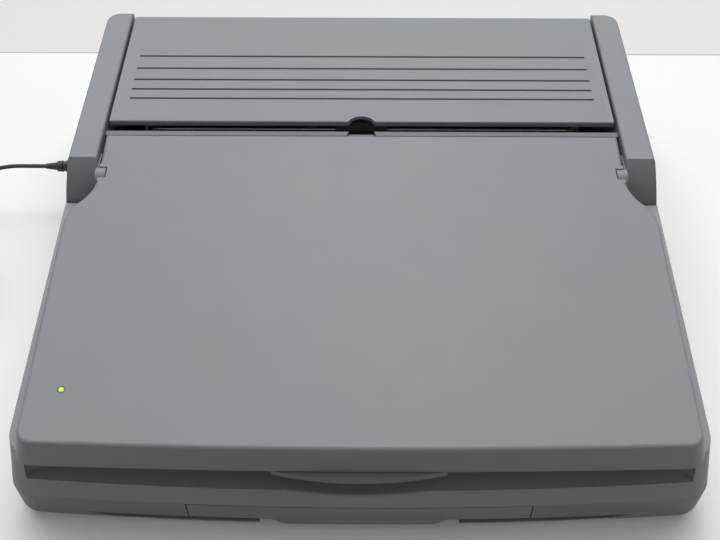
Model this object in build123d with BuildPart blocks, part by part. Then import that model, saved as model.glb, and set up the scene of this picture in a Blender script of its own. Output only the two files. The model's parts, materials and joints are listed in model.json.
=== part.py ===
from build123d import *

import os
from math import atan2, cos, degrees, dist, pi, radians, sin, sqrt, tan

# Portable word processor with its lid shut: a flared base holding keyboard, disk drive and printer, two side
# towers at the rear, a screen lid that drops its tail into a trough between them, a printer cover with five
# grooves, a slide-out carrying handle in the front edge and a low-voltage lead plugged into the left tower.
# Millimetres. +X right, +Y to the rear, +Z up, origin on the table under the middle of the case.

# ---------------------------------------------------------------- driving dimensions
CASE_HALF = 186.0  # half the width of the case at its widest level
FRONT_Y = -170.0  # middle of the bowed front edge
REAR_Y = 170.0
FRONT_BOW = 7.0  # how far the middle of the front stands ahead of its corners
FLOOR_Z = 3.0  # underside of the tray, held up by the feet
PARTING_Z = 26.0  # seam between the tray and the upper casings
FLARE_Z = 34.0  # the sides lean inwards above this level
TOP_Z = 91.7  # top of the towers and of the printer cover
WALL = 2.5
TOWER_TOP_HALF = 176.0  # outer face of a tower at its top
TOWER_INNER = 159.0  # inner face of a tower
CREASE_Y = 25.0  # where a tower's flat top breaks into its nose
NOSE_Y = 9.5  # foot of a tower's nose

# the lid is drawn in a frame of its own: v runs up the slope from the hinge axis, w is square to its top
SLOPE = 5.26  # degrees that the lid's top falls towards the front
AXIS_Y, AXIS_Z = 16.5, 82.2  # lid hinge axis
LID_TOP = 5.5  # w of the lid's top
LID_RIM = -12.5  # w of the rim that faces the deck
LID_FRONT, LID_RIM_FRONT = -177.8, -181.9  # v of the front edge at the top and at the rim
LID_BOW = 3.0
LID_HALF_TOP, LID_HALF_RIM = 171.5, 176.5
NECK_HALF = 157.2  # the lid's tail between the towers
TAIL_R = 30.8  # the tail's rear face, round the hinge axis
SHOULDER_V = (-3.0, -21.5, -40.0)  # start, middle and end of the lid's S-shaped shoulder
KNUCKLE_R = 6.4
KNUCKLE_IN = 152.7
DECK_W = LID_RIM - 1.0  # w of the deck's top
TROUGH_R = 32.3
TROUGH_WALL = 2.2
RAIL_Z = 88.0
RAIL_REAR_Y = 52.2

COVER_HALF = 156.8
COVER_FRONT_Y = 57.2
COVER_PIVOT = (162.0, 83.7)  # y and z of the printer cover's hinge
GROOVES_Y = (121.4, 108.8, 97.3, 87.8, 78.8)

HANDLE_HALF = 91.0
HANDLE_TRAVEL = 42.0
HANDLE_ARM_X = 84.0

KEY_PITCH = 19.0
KEY_TRAVEL = 3.0

CORD_D = 2.8
JACK_Y, JACK_Z = 72.0, 38.0

SIN_S, COS_S = sin(radians(SLOPE)), cos(radians(SLOPE))
ALONG = Vector(0, COS_S, SIN_S)
OUT = Vector(0, -SIN_S, COS_S)
AXIS = Vector(0, AXIS_Y, AXIS_Z)


def slope_plane(w=0.0, v=0.0, u=0.0):
    """Plane on the lid's slope: x is the case's X, y runs up the slope, z is square to the lid."""
    return Plane(origin=AXIS + ALONG * v + OUT * w + Vector(u, 0, 0), x_dir=(1, 0, 0), z_dir=OUT)


def slope_side(x=0.0):
    """Side view of the lid's frame at that X: x is v, y is w, and the normal is +X."""
    return Plane(origin=AXIS + Vector(x, 0, 0), x_dir=ALONG, z_dir=(1, 0, 0))


def side(x=0.0):
    """Side view of the case at that X: x is the case's Y and y its Z."""
    return Plane.YZ.offset(x)


def finish(piece, label):
    """Names a finished piece and writes its file."""
    piece.part.label = label
    export_step(piece.part, f"parts/{label}.step")


os.makedirs("parts", exist_ok=True)


# ---------------------------------------------------------------- outlines
def case_outline(inset=0.0, front_inset=None, rear_inset=None, corner=14.0, rear_corner=9.0):
    """Plan of the case: a bowed front, straight sides and rear, all moved in by the inset."""
    front_inset = inset if front_inset is None else front_inset
    rear_inset = inset if rear_inset is None else rear_inset
    half, front, rear = CASE_HALF - inset, FRONT_Y + front_inset, REAR_Y - rear_inset
    with BuildSketch(mode=Mode.PRIVATE) as plan:
        with BuildLine():
            ThreePointArc((-half, front + FRONT_BOW), (0, front), (half, front + FRONT_BOW))
            Polyline((half, front + FRONT_BOW), (half, rear), (-half, rear), (-half, front + FRONT_BOW))
        make_face()
        fillet(plan.vertices().group_by(Axis.Y)[0], corner)
        fillet(plan.vertices().group_by(Axis.Y)[-1], rear_corner)
    return plan.sketch


def lid_outline(half, neck, front, rear, corner):
    """Plan of the lid on its slope: bowed front, straight sides, S-shaped shoulders and the narrow tail."""
    start, middle, end = SHOULDER_V
    between = (half + neck) / 2
    with BuildSketch(mode=Mode.PRIVATE) as plan:
        with BuildLine():
            ThreePointArc((-half, front + LID_BOW), (0, front), (half, front + LID_BOW))
            for sign in (-1, 1):
                Line((sign * half, front + LID_BOW), (sign * half, end))
                TangentArc((sign * half, end), (sign * between, middle), tangent=(0, 1))
                TangentArc((sign * neck, start), (sign * between, middle), tangent=(0, -1))
                Line((sign * neck, start), (sign * neck, rear))
            Line((-neck, rear), (neck, rear))
        make_face()
        fillet(plan.vertices().group_by(Axis.Y)[0], corner)
    return plan.sketch


# ---------------------------------------------------------------- tray
BAR_TOP, BAR_FOOT, BULGE_FOOT = 25.4, 12.0, 6.6  # the handle's front bar, and the lip in its middle
BULGE_HALF = 51.0
SLOT_Z = (8.0, 11.6)  # shadow slot along the foot of the front
SLOT_HALF = 146.0
BEAM_Y = -152.0  # rear face of the hollow front beam
FEET = [(x, y) for x in (-150, 150) for y in (-140, 145)]
BOSSES = [(-168, -120), (168, -120), (-168, 52), (168, 58), (-168, 150), (168, 150)]
DRIVE_Y, DRIVE_HALF = -9.0, 51.0  # middle and half width of the disk drive
DRIVE_Z = (8.0, 25.5)

with BuildPart() as tray:
    with BuildSketch(Plane.XY.offset(FLOOR_Z)):
        add(case_outline())
    extrude(amount=PARTING_Z - FLOOR_Z)
    fillet(tray.faces().sort_by(Axis.Z)[0].outer_wire().edges(), 5.5)
    with BuildSketch(Plane.XY.offset(FLOOR_Z + WALL)):
        add(case_outline(WALL, BEAM_Y - FRONT_Y + WALL))
    extrude(amount=PARTING_Z, mode=Mode.SUBTRACT)
    # room for the handle's bar, and the windows that its arms slide through
    with Locations((0, FRONT_Y - 5, SLOT_Z[0])):
        Box(
            2 * HANDLE_HALF + 1.2, BEAM_Y - FRONT_Y + 5, 40,
            align=(Align.CENTER, Align.MIN, Align.MIN), mode=Mode.SUBTRACT,
        )
    with Locations(*[(sign * HANDLE_ARM_X, BEAM_Y, 18.0) for sign in (-1, 1)]):
        Box(13.2, 12, 11.2, mode=Mode.SUBTRACT)
    # the shadow slot runs on past the handle, to tapered ends
    with BuildSketch(Plane.XZ.offset(-FRONT_Y + 3)):
        with BuildLine():
            Polyline(
                (-SLOT_HALF, SLOT_Z[1]), (SLOT_HALF, SLOT_Z[1]),
                (SLOT_HALF - 12, SLOT_Z[0]), (12 - SLOT_HALF, SLOT_Z[0]), close=True,
            )
        make_face()
    extrude(amount=-13, mode=Mode.SUBTRACT)
    # fingers reach up behind the bar's lip through the floor
    with Locations((0, FRONT_Y - 5, 0)):
        Box(
            2 * BULGE_HALF + 6, BEAM_Y - FRONT_Y + 3, 20,
            align=(Align.CENTER, Align.MIN, Align.MIN), mode=Mode.SUBTRACT,
        )
    # window for the disk drive's face in the right-hand side
    with Locations((CASE_HALF, DRIVE_Y, DRIVE_Z[0])):
        Box(30, 2 * DRIVE_HALF + 0.8, 40, align=(Align.CENTER, Align.CENTER, Align.MIN), mode=Mode.SUBTRACT)
    # screw bosses, and wells for the feet
    with Locations(*[(x, y, FLOOR_Z + WALL) for x, y in BOSSES]):
        Cylinder(4.5, PARTING_Z - FLOOR_Z - WALL, align=(Align.CENTER, Align.CENTER, Align.MIN))
    with Locations(*[(x, y, FLOOR_Z) for x, y in BOSSES]):
        Cylinder(1.6, 2 * PARTING_Z, mode=Mode.SUBTRACT)
        Cylinder(3.3, 7, mode=Mode.SUBTRACT)
    with Locations(*[(x, y, FLOOR_Z) for x, y in FEET]):
        Cylinder(8.2, 2.4, mode=Mode.SUBTRACT)
    # cooling slots in the floor
    with GridLocations(9, 0, 14, 1):
        with Locations((0, 100, FLOOR_Z)):
            Box(3, 34, 12, mode=Mode.SUBTRACT)
finish(tray, "base_tray")

with BuildPart() as feet:
    with Locations(*[(x, y, 0) for x, y in FEET]):
        Cylinder(8.0, FLOOR_Z + 1.2, align=(Align.CENTER, Align.CENTER, Align.MIN))
    fillet(feet.faces().group_by(Axis.Z)[0].edges(), 1.2)
finish(feet, "rubber_feet")

with BuildPart() as screws:
    with Locations(*[(x, y, FLOOR_Z + 0.6) for x, y in BOSSES]):
        Cylinder(2.9, 2.2, align=(Align.CENTER, Align.CENTER, Align.MIN))
        Cylinder(1.5, 20, align=(Align.CENTER, Align.CENTER, Align.MIN))
    with Locations(*[(x, y, FLOOR_Z + 0.6) for x, y in BOSSES]):
        Box(3.6, 0.8, 1.6, mode=Mode.SUBTRACT)
        Box(0.8, 3.6, 1.6, mode=Mode.SUBTRACT)
finish(screws, "case_screws")

# ---------------------------------------------------------------- carrying handle
with BuildPart() as handle:
    with BuildSketch(Plane.XZ.offset(-FRONT_Y)):
        with BuildLine():
            Polyline(
                (-50, BAR_FOOT), (-HANDLE_HALF, BAR_FOOT), (-HANDLE_HALF, BAR_TOP),
                (HANDLE_HALF, BAR_TOP), (HANDLE_HALF, BAR_FOOT), (50, BAR_FOOT),
            )
            TangentArc((50, BAR_FOOT), (44, (BAR_FOOT + BULGE_FOOT) / 2), tangent=(-1, 0))
            TangentArc((38, BULGE_FOOT), (44, (BAR_FOOT + BULGE_FOOT) / 2), tangent=(1, 0))
            Line((38, BULGE_FOOT), (-38, BULGE_FOOT))
            TangentArc((-38, BULGE_FOOT), (-44, (BAR_FOOT + BULGE_FOOT) / 2), tangent=(-1, 0))
            TangentArc((-50, BAR_FOOT), (-44, (BAR_FOOT + BULGE_FOOT) / 2), tangent=(1, 0))
        make_face()
    extrude(amount=-9)
    with BuildSketch(Plane.XY):
        add(case_outline())
    extrude(amount=40, mode=Mode.INTERSECT)
    fillet(handle.edges().filter_by(Axis.Z).group_by(Axis.Y)[-1], 2.5)
    for sign in (-1, 1):
        with Locations((sign * HANDLE_ARM_X, FRONT_Y + 8, 18)):
            Box(12, 90, 10, align=(Align.CENTER, Align.MIN, Align.CENTER))
        with Locations((sign * HANDLE_ARM_X, FRONT_Y + 94, 23)):
            Box(12, 4, 2.4, align=(Align.CENTER, Align.MIN, Align.MIN))
    # lightening pockets in the arms' tops
    with Locations(*[(sign * HANDLE_ARM_X, FRONT_Y + 20 + 24 * i, 23) for sign in (-1, 1) for i in range(3)]):
        Box(7, 18, 5, align=(Align.CENTER, Align.MIN, Align.CENTER), mode=Mode.SUBTRACT)
finish(handle, "carrying_handle")

with BuildPart() as guides:
    for sign in (-1, 1):
        with Locations((sign * HANDLE_ARM_X, BEAM_Y + WALL + 2.4, FLOOR_Z + WALL)):
            Box(18, 80, 20, align=(Align.CENTER, Align.MIN, Align.MIN))
        with Locations((sign * HANDLE_ARM_X, BEAM_Y, 18)):
            Box(12.6, 100, 10.6, align=(Align.CENTER, Align.MIN, Align.CENTER), mode=Mode.SUBTRACT)
        with Locations((sign * HANDLE_ARM_X, FRONT_Y + 50, 18)):
            Box(12.6, 100, 20, align=(Align.CENTER, Align.MIN, Align.MIN), mode=Mode.SUBTRACT)
        with Locations((sign * HANDLE_ARM_X, FRONT_Y + 30, 5)):
            Box(9, 60, 7, align=(Align.CENTER, Align.MIN, Align.MIN), mode=Mode.SUBTRACT)
finish(guides, "handle_guides")

# ---------------------------------------------------------------- upper casings
# height, how much narrower, and how much further back the front is
LEVELS = (
    (PARTING_Z, 0.0, 0.0), (FLARE_Z, 0.6, 4.5), (53.4, 3.8, 9.0),
    (TOP_Z, CASE_HALF - TOWER_TOP_HALF, 14.0),
)
LEDGE_Z = 35.5  # shelf under the lid's front edge
AHEAD = (Align.CENTER, Align.MIN, Align.CENTER)  # a block from its place to the rear
CHANNEL_HALF = 174.0
WALL_Y = -152.0  # wall at the back of the channel
DECK_REAR_Y = -10.0
SEAM_Y = 9.2  # end of the deck's side arms, just ahead of the towers


def hull(inset=0.0, foot=PARTING_Z):
    """The upper case as one block with flared sides and a slanted front, moved in by the inset."""
    with BuildPart(mode=Mode.PRIVATE) as block:
        for level, (z, narrower, shorter) in enumerate(LEVELS):
            with BuildSketch(Plane.XY.offset(foot if level == 0 else z)):
                add(case_outline(inset + narrower, inset + shorter, inset + 0.06 * narrower))
        loft(ruled=True)
    return block.part


def tower_profile(inset=0.0, foot=PARTING_Z):
    """Side view of a tower: flat top, a nose that curls down to its foot, and the rear."""
    with BuildSketch(mode=Mode.PRIVATE) as profile:
        with BuildLine():
            ThreePointArc(
                (CREASE_Y + inset, TOP_Z - inset), (15.4 + inset, 78.6 - 0.4 * inset), (NOSE_Y + inset, 62.0)
            )
            Polyline(
                (NOSE_Y + inset, 62.0), (NOSE_Y + inset, foot), (REAR_Y + 9 - inset, foot),
                (REAR_Y + 9 - inset, TOP_Z - inset), (CREASE_Y + inset, TOP_Z - inset),
            )
        make_face()
    return profile.sketch


KEY_WELL_V = (-163.0, -50.0)
KEY_WELL_HALF = 151.0

with BuildPart() as deck:
    add(hull())
    split(bisect_by=slope_plane(DECK_W), keep=Keep.BOTTOM)
    with Locations((0, DECK_REAR_Y, 0)):
        Box(2 * TOWER_INNER + 0.6, 400, 300, align=AHEAD, mode=Mode.SUBTRACT)
    with Locations((0, SEAM_Y, 0)):
        Box(500, 400, 300, align=(Align.CENTER, Align.MIN, Align.CENTER), mode=Mode.SUBTRACT)
    # hollow inside
    with BuildPart(mode=Mode.PRIVATE) as cavity:
        add(hull(WALL, PARTING_Z - 5))
        split(bisect_by=slope_plane(DECK_W - WALL), keep=Keep.BOTTOM)
        with Locations((0, WALL_Y + WALL, 0)):
            Box(500, 150 - WALL_Y - WALL, 300, align=AHEAD, mode=Mode.INTERSECT)
        with Locations((0, DECK_REAR_Y - WALL, 0)):
            Box(2 * TOWER_INNER + 0.6 + 2 * WALL, 500, 300, align=AHEAD, mode=Mode.SUBTRACT)
        with Locations((0, SEAM_Y - WALL, 0)):
            Box(500, 400, 300, align=(Align.CENTER, Align.MIN, Align.CENTER), mode=Mode.SUBTRACT)
    add(cavity.part, mode=Mode.SUBTRACT)
    # channel under the lid's front edge, and the hollow behind the slanted band
    with BuildSketch(Plane.XY.offset(LEDGE_Z)):
        with Locations((0, WALL_Y)):
            RectangleRounded(2 * CHANNEL_HALF, 60, 6, align=(Align.CENTER, Align.MAX))
    extrude(amount=60, mode=Mode.SUBTRACT)
    with BuildSketch(Plane.XY.offset(PARTING_Z - 1)):
        add(case_outline(WALL, 7.5))
        with Locations((0, WALL_Y)):
            Rectangle(500, 500, align=(Align.CENTER, Align.MIN), mode=Mode.SUBTRACT)
    extrude(amount=LEDGE_Z - PARTING_Z - 1.5, mode=Mode.SUBTRACT)
    # finger scoop in the ledge
    with BuildSketch(Plane.XY.offset(LEDGE_Z)):
        with Locations((0, WALL_Y - 9)):
            SlotOverall(82, 17)
    extrude(amount=-5.2, taper=30, mode=Mode.SUBTRACT)
    with BuildSketch(Plane.XY.offset(LEDGE_Z - 6.2)):
        with Locations((0, WALL_Y - 9)):
            SlotOverall(80, 16)
    extrude(amount=1.2)
    # well for the keys, with a step that holds the key plate from below
    with BuildSketch(slope_plane(DECK_W)):
        with Locations((0, sum(KEY_WELL_V) / 2)):
            RectangleRounded(2 * KEY_WELL_HALF, KEY_WELL_V[1] - KEY_WELL_V[0], 3)
    extrude(amount=-12, mode=Mode.SUBTRACT)
    # loudspeaker holes beside the key well's rear edge
    with BuildSketch(slope_plane(DECK_W)):
        with Locations((118, -39.5)):
            with GridLocations(4.5, 4.5, 5, 3):
                Circle(1.1)
    extrude(amount=-5, mode=Mode.SUBTRACT)
    # shallow seats for the lid's bumpers
    with Locations(slope_plane(DECK_W)):
        with Locations(*[(sign * 167, v, 0) for sign in (-1, 1) for v in (-160, -60)]):
            Cylinder(4.2, 1.2, mode=Mode.SUBTRACT)
finish(deck, "deck_case")

with BuildPart() as trough:
    with BuildSketch(side(-TOWER_INNER + 0.4)) as curve:
        reach = sqrt(TROUGH_R**2 - (AXIS_Y - DECK_REAR_Y - 0.3 - TROUGH_WALL) ** 2)
        front_y = DECK_REAR_Y + 0.3
        deck_z = AXIS_Z + (front_y - AXIS_Y) * tan(radians(SLOPE)) + DECK_W / COS_S
        drop = sqrt(TROUGH_R**2 - (AXIS_Y - front_y - TROUGH_WALL) ** 2)
        rear_drop = RAIL_Z - AXIS_Z
        rear_y = AXIS_Y + sqrt(TROUGH_R**2 - rear_drop**2)
        with BuildLine():
            Line((front_y + TROUGH_WALL, deck_z), (front_y + TROUGH_WALL, AXIS_Z - drop))
            ThreePointArc(
                (front_y + TROUGH_WALL, AXIS_Z - drop), (AXIS_Y, AXIS_Z - TROUGH_R), (rear_y, RAIL_Z)
            )
            Polyline((rear_y, RAIL_Z), (RAIL_REAR_Y, RAIL_Z), (RAIL_REAR_Y, 82.0))
            ThreePointArc(
                (RAIL_REAR_Y, 82.0), (AXIS_Y + 24.6, AXIS_Z - 25.4), (AXIS_Y, AXIS_Z - TROUGH_R - TROUGH_WALL)
            )
            ThreePointArc(
                (AXIS_Y, AXIS_Z - TROUGH_R - TROUGH_WALL), (AXIS_Y - 16, AXIS_Z - 30.2),
                (front_y, AXIS_Z - drop - 2),
            )
            Polyline((front_y, AXIS_Z - drop - 2), (front_y, deck_z), (front_y + TROUGH_WALL, deck_z))
        make_face()
    extrude(amount=2 * TOWER_INNER - 0.8)
    # finger dish in the middle of the rail
    with Locations((0, 47.0, RAIL_Z)):
        Cylinder(9.3, 5, mode=Mode.SUBTRACT)
    # ribs that stand on the tray, and one that stands on the disk drive
    for x, foot in ((-142, FLOOR_Z + WALL), (52, FLOOR_Z + WALL), (140, DRIVE_Z[0] + 17.3)):
        with Locations((x, AXIS_Y, foot)):
            Box(3, 30, 54 - foot, align=(Align.CENTER, Align.CENTER, Align.MIN))
    with BuildSketch(side(-TOWER_INNER)):
        with Locations((AXIS_Y, AXIS_Z)):
            Circle(TROUGH_R)
    extrude(amount=2 * TOWER_INNER, mode=Mode.SUBTRACT)
finish(trough, "hinge_trough")

RIVETS = ((27, 71), (30, 81))
SWITCH_Y, SWITCH_Z = 110.0, 45.0  # middle of the power switch's slot

for label, sign in (("tower_right", 1), ("tower_left", -1)):
    with BuildPart() as tower:
        add(hull())
        with BuildPart(mode=Mode.PRIVATE) as slab:
            with BuildSketch(side(sign * TOWER_INNER)):
                add(tower_profile())
            extrude(amount=sign * 60)
        add(slab.part, mode=Mode.INTERSECT)
        fillet(tower.edges().filter_by(Axis.Y).group_by(Axis.Z)[-1], 1.6)
        with BuildPart(mode=Mode.PRIVATE) as core:
            add(hull(WALL, PARTING_Z - 5))
            with BuildPart(mode=Mode.PRIVATE) as room:
                with BuildSketch(side(sign * (TOWER_INNER + WALL))):
                    add(tower_profile(WALL, PARTING_Z - 5))
                extrude(amount=sign * 60)
            add(room.part, mode=Mode.INTERSECT)
        add(core.part, mode=Mode.SUBTRACT)
        # bores for the hinge rivets and for the printer cover's stubs
        for (y, z), radius in (*((spot, 1.55) for spot in RIVETS), (COVER_PIVOT, 2.05)):
            with Locations(Pos(sign * TOWER_INNER, y, z) * Rot(0, 90, 0)):
                Cylinder(radius, 8, mode=Mode.SUBTRACT)
        if sign < 0:
            with Locations(Pos(-CASE_HALF, JACK_Y, JACK_Z) * Rot(0, 90, 0)):
                Cylinder(4.45, 16, mode=Mode.SUBTRACT)
            with Locations((-CASE_HALF, SWITCH_Y, SWITCH_Z)):
                Box(16, 13, 5.2, mode=Mode.SUBTRACT)
    finish(tower, label)

with BuildPart() as rear_panel:
    with BuildSketch(Plane.XY.offset(PARTING_Z)):
        with Locations((0, REAR_Y - 0.1)):
            Rectangle(2 * TOWER_INNER - 0.8, WALL, align=(Align.CENTER, Align.MAX))
    extrude(amount=50)
    chamfer(rear_panel.edges().filter_by(Axis.X).group_by(Axis.Z)[-1], 0.8)
    # air slots
    with Locations(Plane.XZ.offset(-REAR_Y)):
        with Locations((-70, 50)):
            with GridLocations(7, 0, 16, 1):
                Box(3, 24, 12, mode=Mode.SUBTRACT)
finish(rear_panel, "rear_panel")

# ---------------------------------------------------------------- lid
LID_WALL = 2.2
BEZEL_W = -9.5  # face of the bezel round the screen
WINDOW = (212.0, 136.0)  # screen opening across and up the slope
WINDOW_V = -92.0
LAMP = (-153.0, -145.4)  # u and v of the power lamp
LATCH_HALF = 45.0
DIAL_U, DIAL_V, DIAL_W = 135.0, -60.0, -4.3  # middle of the contrast dial
AXLE_R = 1.0


def lid_block(inset, top, rim, far=34.0):
    """Lid-shaped block between two levels; its drafted sides follow the lid's, moved in by the inset."""
    lean = (LID_HALF_RIM - LID_HALF_TOP) / (LID_TOP - LID_RIM)
    front_lean = (LID_RIM_FRONT - LID_FRONT) / (LID_TOP - LID_RIM)
    with BuildPart(mode=Mode.PRIVATE) as block:
        for w in (top, rim):
            half = LID_HALF_TOP + lean * (LID_TOP - w) - inset
            front = LID_FRONT + front_lean * (LID_TOP - w) + inset
            with BuildSketch(slope_plane(w)):
                add(lid_outline(half, NECK_HALF - inset, front, far, 8.0 - min(inset, 4)))
        loft(ruled=True)
    return block.part


def tail_cut(radius):
    """What stands behind the round rear face of the lid's tail."""
    with BuildPart(mode=Mode.PRIVATE) as spare:
        with BuildSketch(slope_side(-200)):
            Rectangle(80, 120, align=(Align.MIN, Align.CENTER))
            Circle(radius, mode=Mode.SUBTRACT)
        extrude(amount=400)
    return spare.part


with BuildPart() as lid:
    add(lid_block(0, LID_TOP, LID_RIM))
    add(tail_cut(TAIL_R), mode=Mode.SUBTRACT)
    fillet(lid.faces().sort_by(SortBy.AREA)[-2:].sort_by(Axis.Z)[-1].outer_wire().edges(), 2.2)
    with BuildPart(mode=Mode.PRIVATE) as hollow:
        add(lid_block(LID_WALL, LID_TOP - LID_WALL, LID_RIM - 2))
        add(tail_cut(TAIL_R - LID_WALL), mode=Mode.SUBTRACT)
    add(hollow.part, mode=Mode.SUBTRACT)
    # lamp hole, seats for the hinge caps, and the latch's slots through the front rim
    with Locations(slope_plane(LID_TOP)):
        with Locations((LAMP[0], LAMP[1], 0)):
            Cylinder(1.6, 12, mode=Mode.SUBTRACT)
    # pockets for the knuckles, open to the top and to the side
    for sign in (-1, 1):
        with BuildSketch(slope_side(sign * (KNUCKLE_IN - 2.0))):
            Circle(KNUCKLE_R + 2.2)
            with Locations((0, LID_TOP)):
                Rectangle(40, 20, align=(Align.CENTER, Align.MIN), mode=Mode.SUBTRACT)
        extrude(amount=sign * (NECK_HALF - KNUCKLE_IN + 2.0))
    for sign in (-1, 1):
        with BuildSketch(slope_side(sign * KNUCKLE_IN - sign * 0.4)):
            Circle(KNUCKLE_R + 0.4)
        extrude(amount=sign * 8, mode=Mode.SUBTRACT)
        with Locations(Pos(sign * (KNUCKLE_IN - 2), AXIS_Y, AXIS_Z) * Rot(0, 90, 0)):
            Cylinder(2.65, 8, mode=Mode.SUBTRACT)
    # ribs across the inside of the top
    with BuildSketch(slope_plane(LID_TOP - LID_WALL)):
        with GridLocations(0, 34, 1, 4):
            with Locations((0, WINDOW_V)):
                Rectangle(240, 1.6)
    extrude(amount=-1.6)
finish(lid, "lid_shell")


with BuildPart() as bezel:
    add(lid_block(LID_WALL + 0.2, BEZEL_W + 1.8, BEZEL_W))
    add(tail_cut(TAIL_R - LID_WALL - 0.2), mode=Mode.SUBTRACT)
    with BuildSketch(slope_plane(BEZEL_W)):
        with Locations((0, WINDOW_V)):
            RectangleRounded(*WINDOW, 3)
        # slots for the latch's posts and for the dial
        with Locations(*[(sign * 36, -174.1) for sign in (-1, 1)]):
            Rectangle(6.6, 7.8)
        with Locations((DIAL_U, DIAL_V)):
            Rectangle(4.4, 13)
        # clearance round the hinge arms and knuckles
        with Locations(*[(sign * 149.5, -2) for sign in (-1, 1)]):
            Rectangle(19, 22)
    extrude(amount=3, mode=Mode.SUBTRACT)
    # sloping reveal round the screen
    with BuildSketch(slope_plane(BEZEL_W + 1.8)):
        with Locations((0, WINDOW_V)):
            RectangleRounded(WINDOW[0] + 6, WINDOW[1] + 6, 4)
            RectangleRounded(*WINDOW, 3, mode=Mode.SUBTRACT)
    extrude(amount=1.0)
    # posts that meet the lid's inside, and the two cheeks that carry the dial's axle
    with BuildSketch(slope_plane(BEZEL_W + 1.8)):
        with Locations(*[(sign * 163, v) for sign in (-1, 1) for v in (-118, -30)]):
            Circle(3.0)
    extrude(amount=LID_TOP - LID_WALL - BEZEL_W - 1.8)
    for sign in (-1, 1):
        with BuildSketch(slope_side(DIAL_U + sign * 2.6)):
            with Locations((DIAL_V, BEZEL_W + 1.8)):
                Rectangle(6, 7, align=(Align.CENTER, Align.MIN))
            with Locations((DIAL_V, DIAL_W)):
                Circle(AXLE_R + 0.05, mode=Mode.SUBTRACT)
        extrude(amount=sign * 1.6)
finish(bezel, "lid_bezel")

SCREEN_W = BEZEL_W + 3.0
with BuildPart() as lcd:
    with BuildSketch(slope_plane(SCREEN_W)):
        with Locations((0, WINDOW_V)):
            Rectangle(226, 150)
    extrude(amount=2.0)
finish(lcd, "lcd_panel")

with BuildPart() as lcd_frame:
    with BuildSketch(slope_plane(SCREEN_W + 2.0)):
        with Locations((0, WINDOW_V)):
            Rectangle(230, 154)
            Rectangle(190, 30, mode=Mode.SUBTRACT)
    extrude(amount=1.2)
    with BuildSketch(slope_plane(SCREEN_W)):
        with Locations((0, WINDOW_V)):
            Rectangle(230, 154)
            Rectangle(226.2, 150.2, mode=Mode.SUBTRACT)
    extrude(amount=2.0)
    with BuildSketch(slope_plane(SCREEN_W)):
        with Locations(*[(sign * 119, WINDOW_V + v) for sign in (-1, 1) for v in (-60, 60)]):
            Rectangle(8.2, 10)
            Circle(1.6, mode=Mode.SUBTRACT)
    extrude(amount=1.2)
    # spacers up to the lid's ribs
    with BuildSketch(slope_plane(SCREEN_W + 3.2)):
        with Locations(*[(sign * 108, WINDOW_V + sign * v) for sign in (-1, 1) for v in (-51, 51)]):
            Circle(2.5)
    extrude(amount=LID_TOP - LID_WALL - 1.6 - SCREEN_W - 3.2)
finish(lcd_frame, "lcd_frame")

with BuildPart() as lens:
    with Locations(slope_plane(0)):
        with Locations((LAMP[0], LAMP[1], 0)):
            Cylinder(1.5, LID_TOP + 0.3, align=(Align.CENTER, Align.CENTER, Align.MIN))
            Cylinder(2.6, LID_TOP - LID_WALL, align=(Align.CENTER, Align.CENTER, Align.MIN))
    fillet(lens.faces().sort_by(Axis.Z)[-1].edges(), 0.5)
finish(lens, "led_lens")

with BuildPart() as bumpers:
    with Locations(slope_plane(BEZEL_W)):
        with Locations(*[(sign * 167, v, 0) for sign in (-1, 1) for v in (-160, -60)]):
            Cylinder(3.5, 4.4, align=(Align.CENTER, Align.CENTER, Align.MAX))
finish(bumpers, "lid_bumpers")

PIN_R, PIN_BORE = 2.5, 2.55
with BuildPart() as arms:
    for sign in (-1, 1):
        with BuildSketch(slope_side(sign * 139.5)):
            with Locations((0, -1.4)):
                Rectangle(13, 9)
            Circle(5.0)
            with Locations((0, 3.2)):
                Rectangle(40, 10, align=(Align.CENTER, Align.MIN), mode=Mode.SUBTRACT)
            with Locations((-18, LID_TOP - LID_WALL - 1.5)):
                Rectangle(34, 3)
            Circle(PIN_BORE, mode=Mode.SUBTRACT)
        extrude(amount=sign * 9)
finish(arms, "hinge_arms")

with BuildPart() as pins:
    with Locations(*[Pos(sign * 149.2, AXIS_Y, AXIS_Z) * Rot(0, 90, 0) for sign in (-1, 1)]):
        Cylinder(PIN_R, 18.4)
finish(pins, "hinge_pins")

with BuildPart() as knuckles:
    for sign in (-1, 1):
        with BuildSketch(slope_side(sign * KNUCKLE_IN)):
            Circle(KNUCKLE_R)
            Circle(PIN_BORE, mode=Mode.SUBTRACT)
        extrude(amount=sign * (TOWER_INNER - 0.1 - KNUCKLE_IN))
        # plate in the gap beside the tail, and the block behind the tower's wall that it is riveted to
        with BuildSketch(side(sign * 158.0)):
            with BuildLine():
                Polyline((17, 77), (18, 66), (30, 66), (34, 72), (34, 86), (20, 87), (17, 82), close=True)
            make_face()
            with Locations((AXIS_Y, AXIS_Z)):
                Circle(PIN_BORE, mode=Mode.SUBTRACT)
        extrude(amount=sign * 0.9)
        with Locations(*[Pos(sign * 158.0, y, z) * Rot(0, sign * 90, 0) for y, z in RIVETS]):
            Cylinder(1.5, 6, align=(Align.CENTER, Align.CENTER, Align.MIN))
finish(knuckles, "hinge_knuckles")

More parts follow.
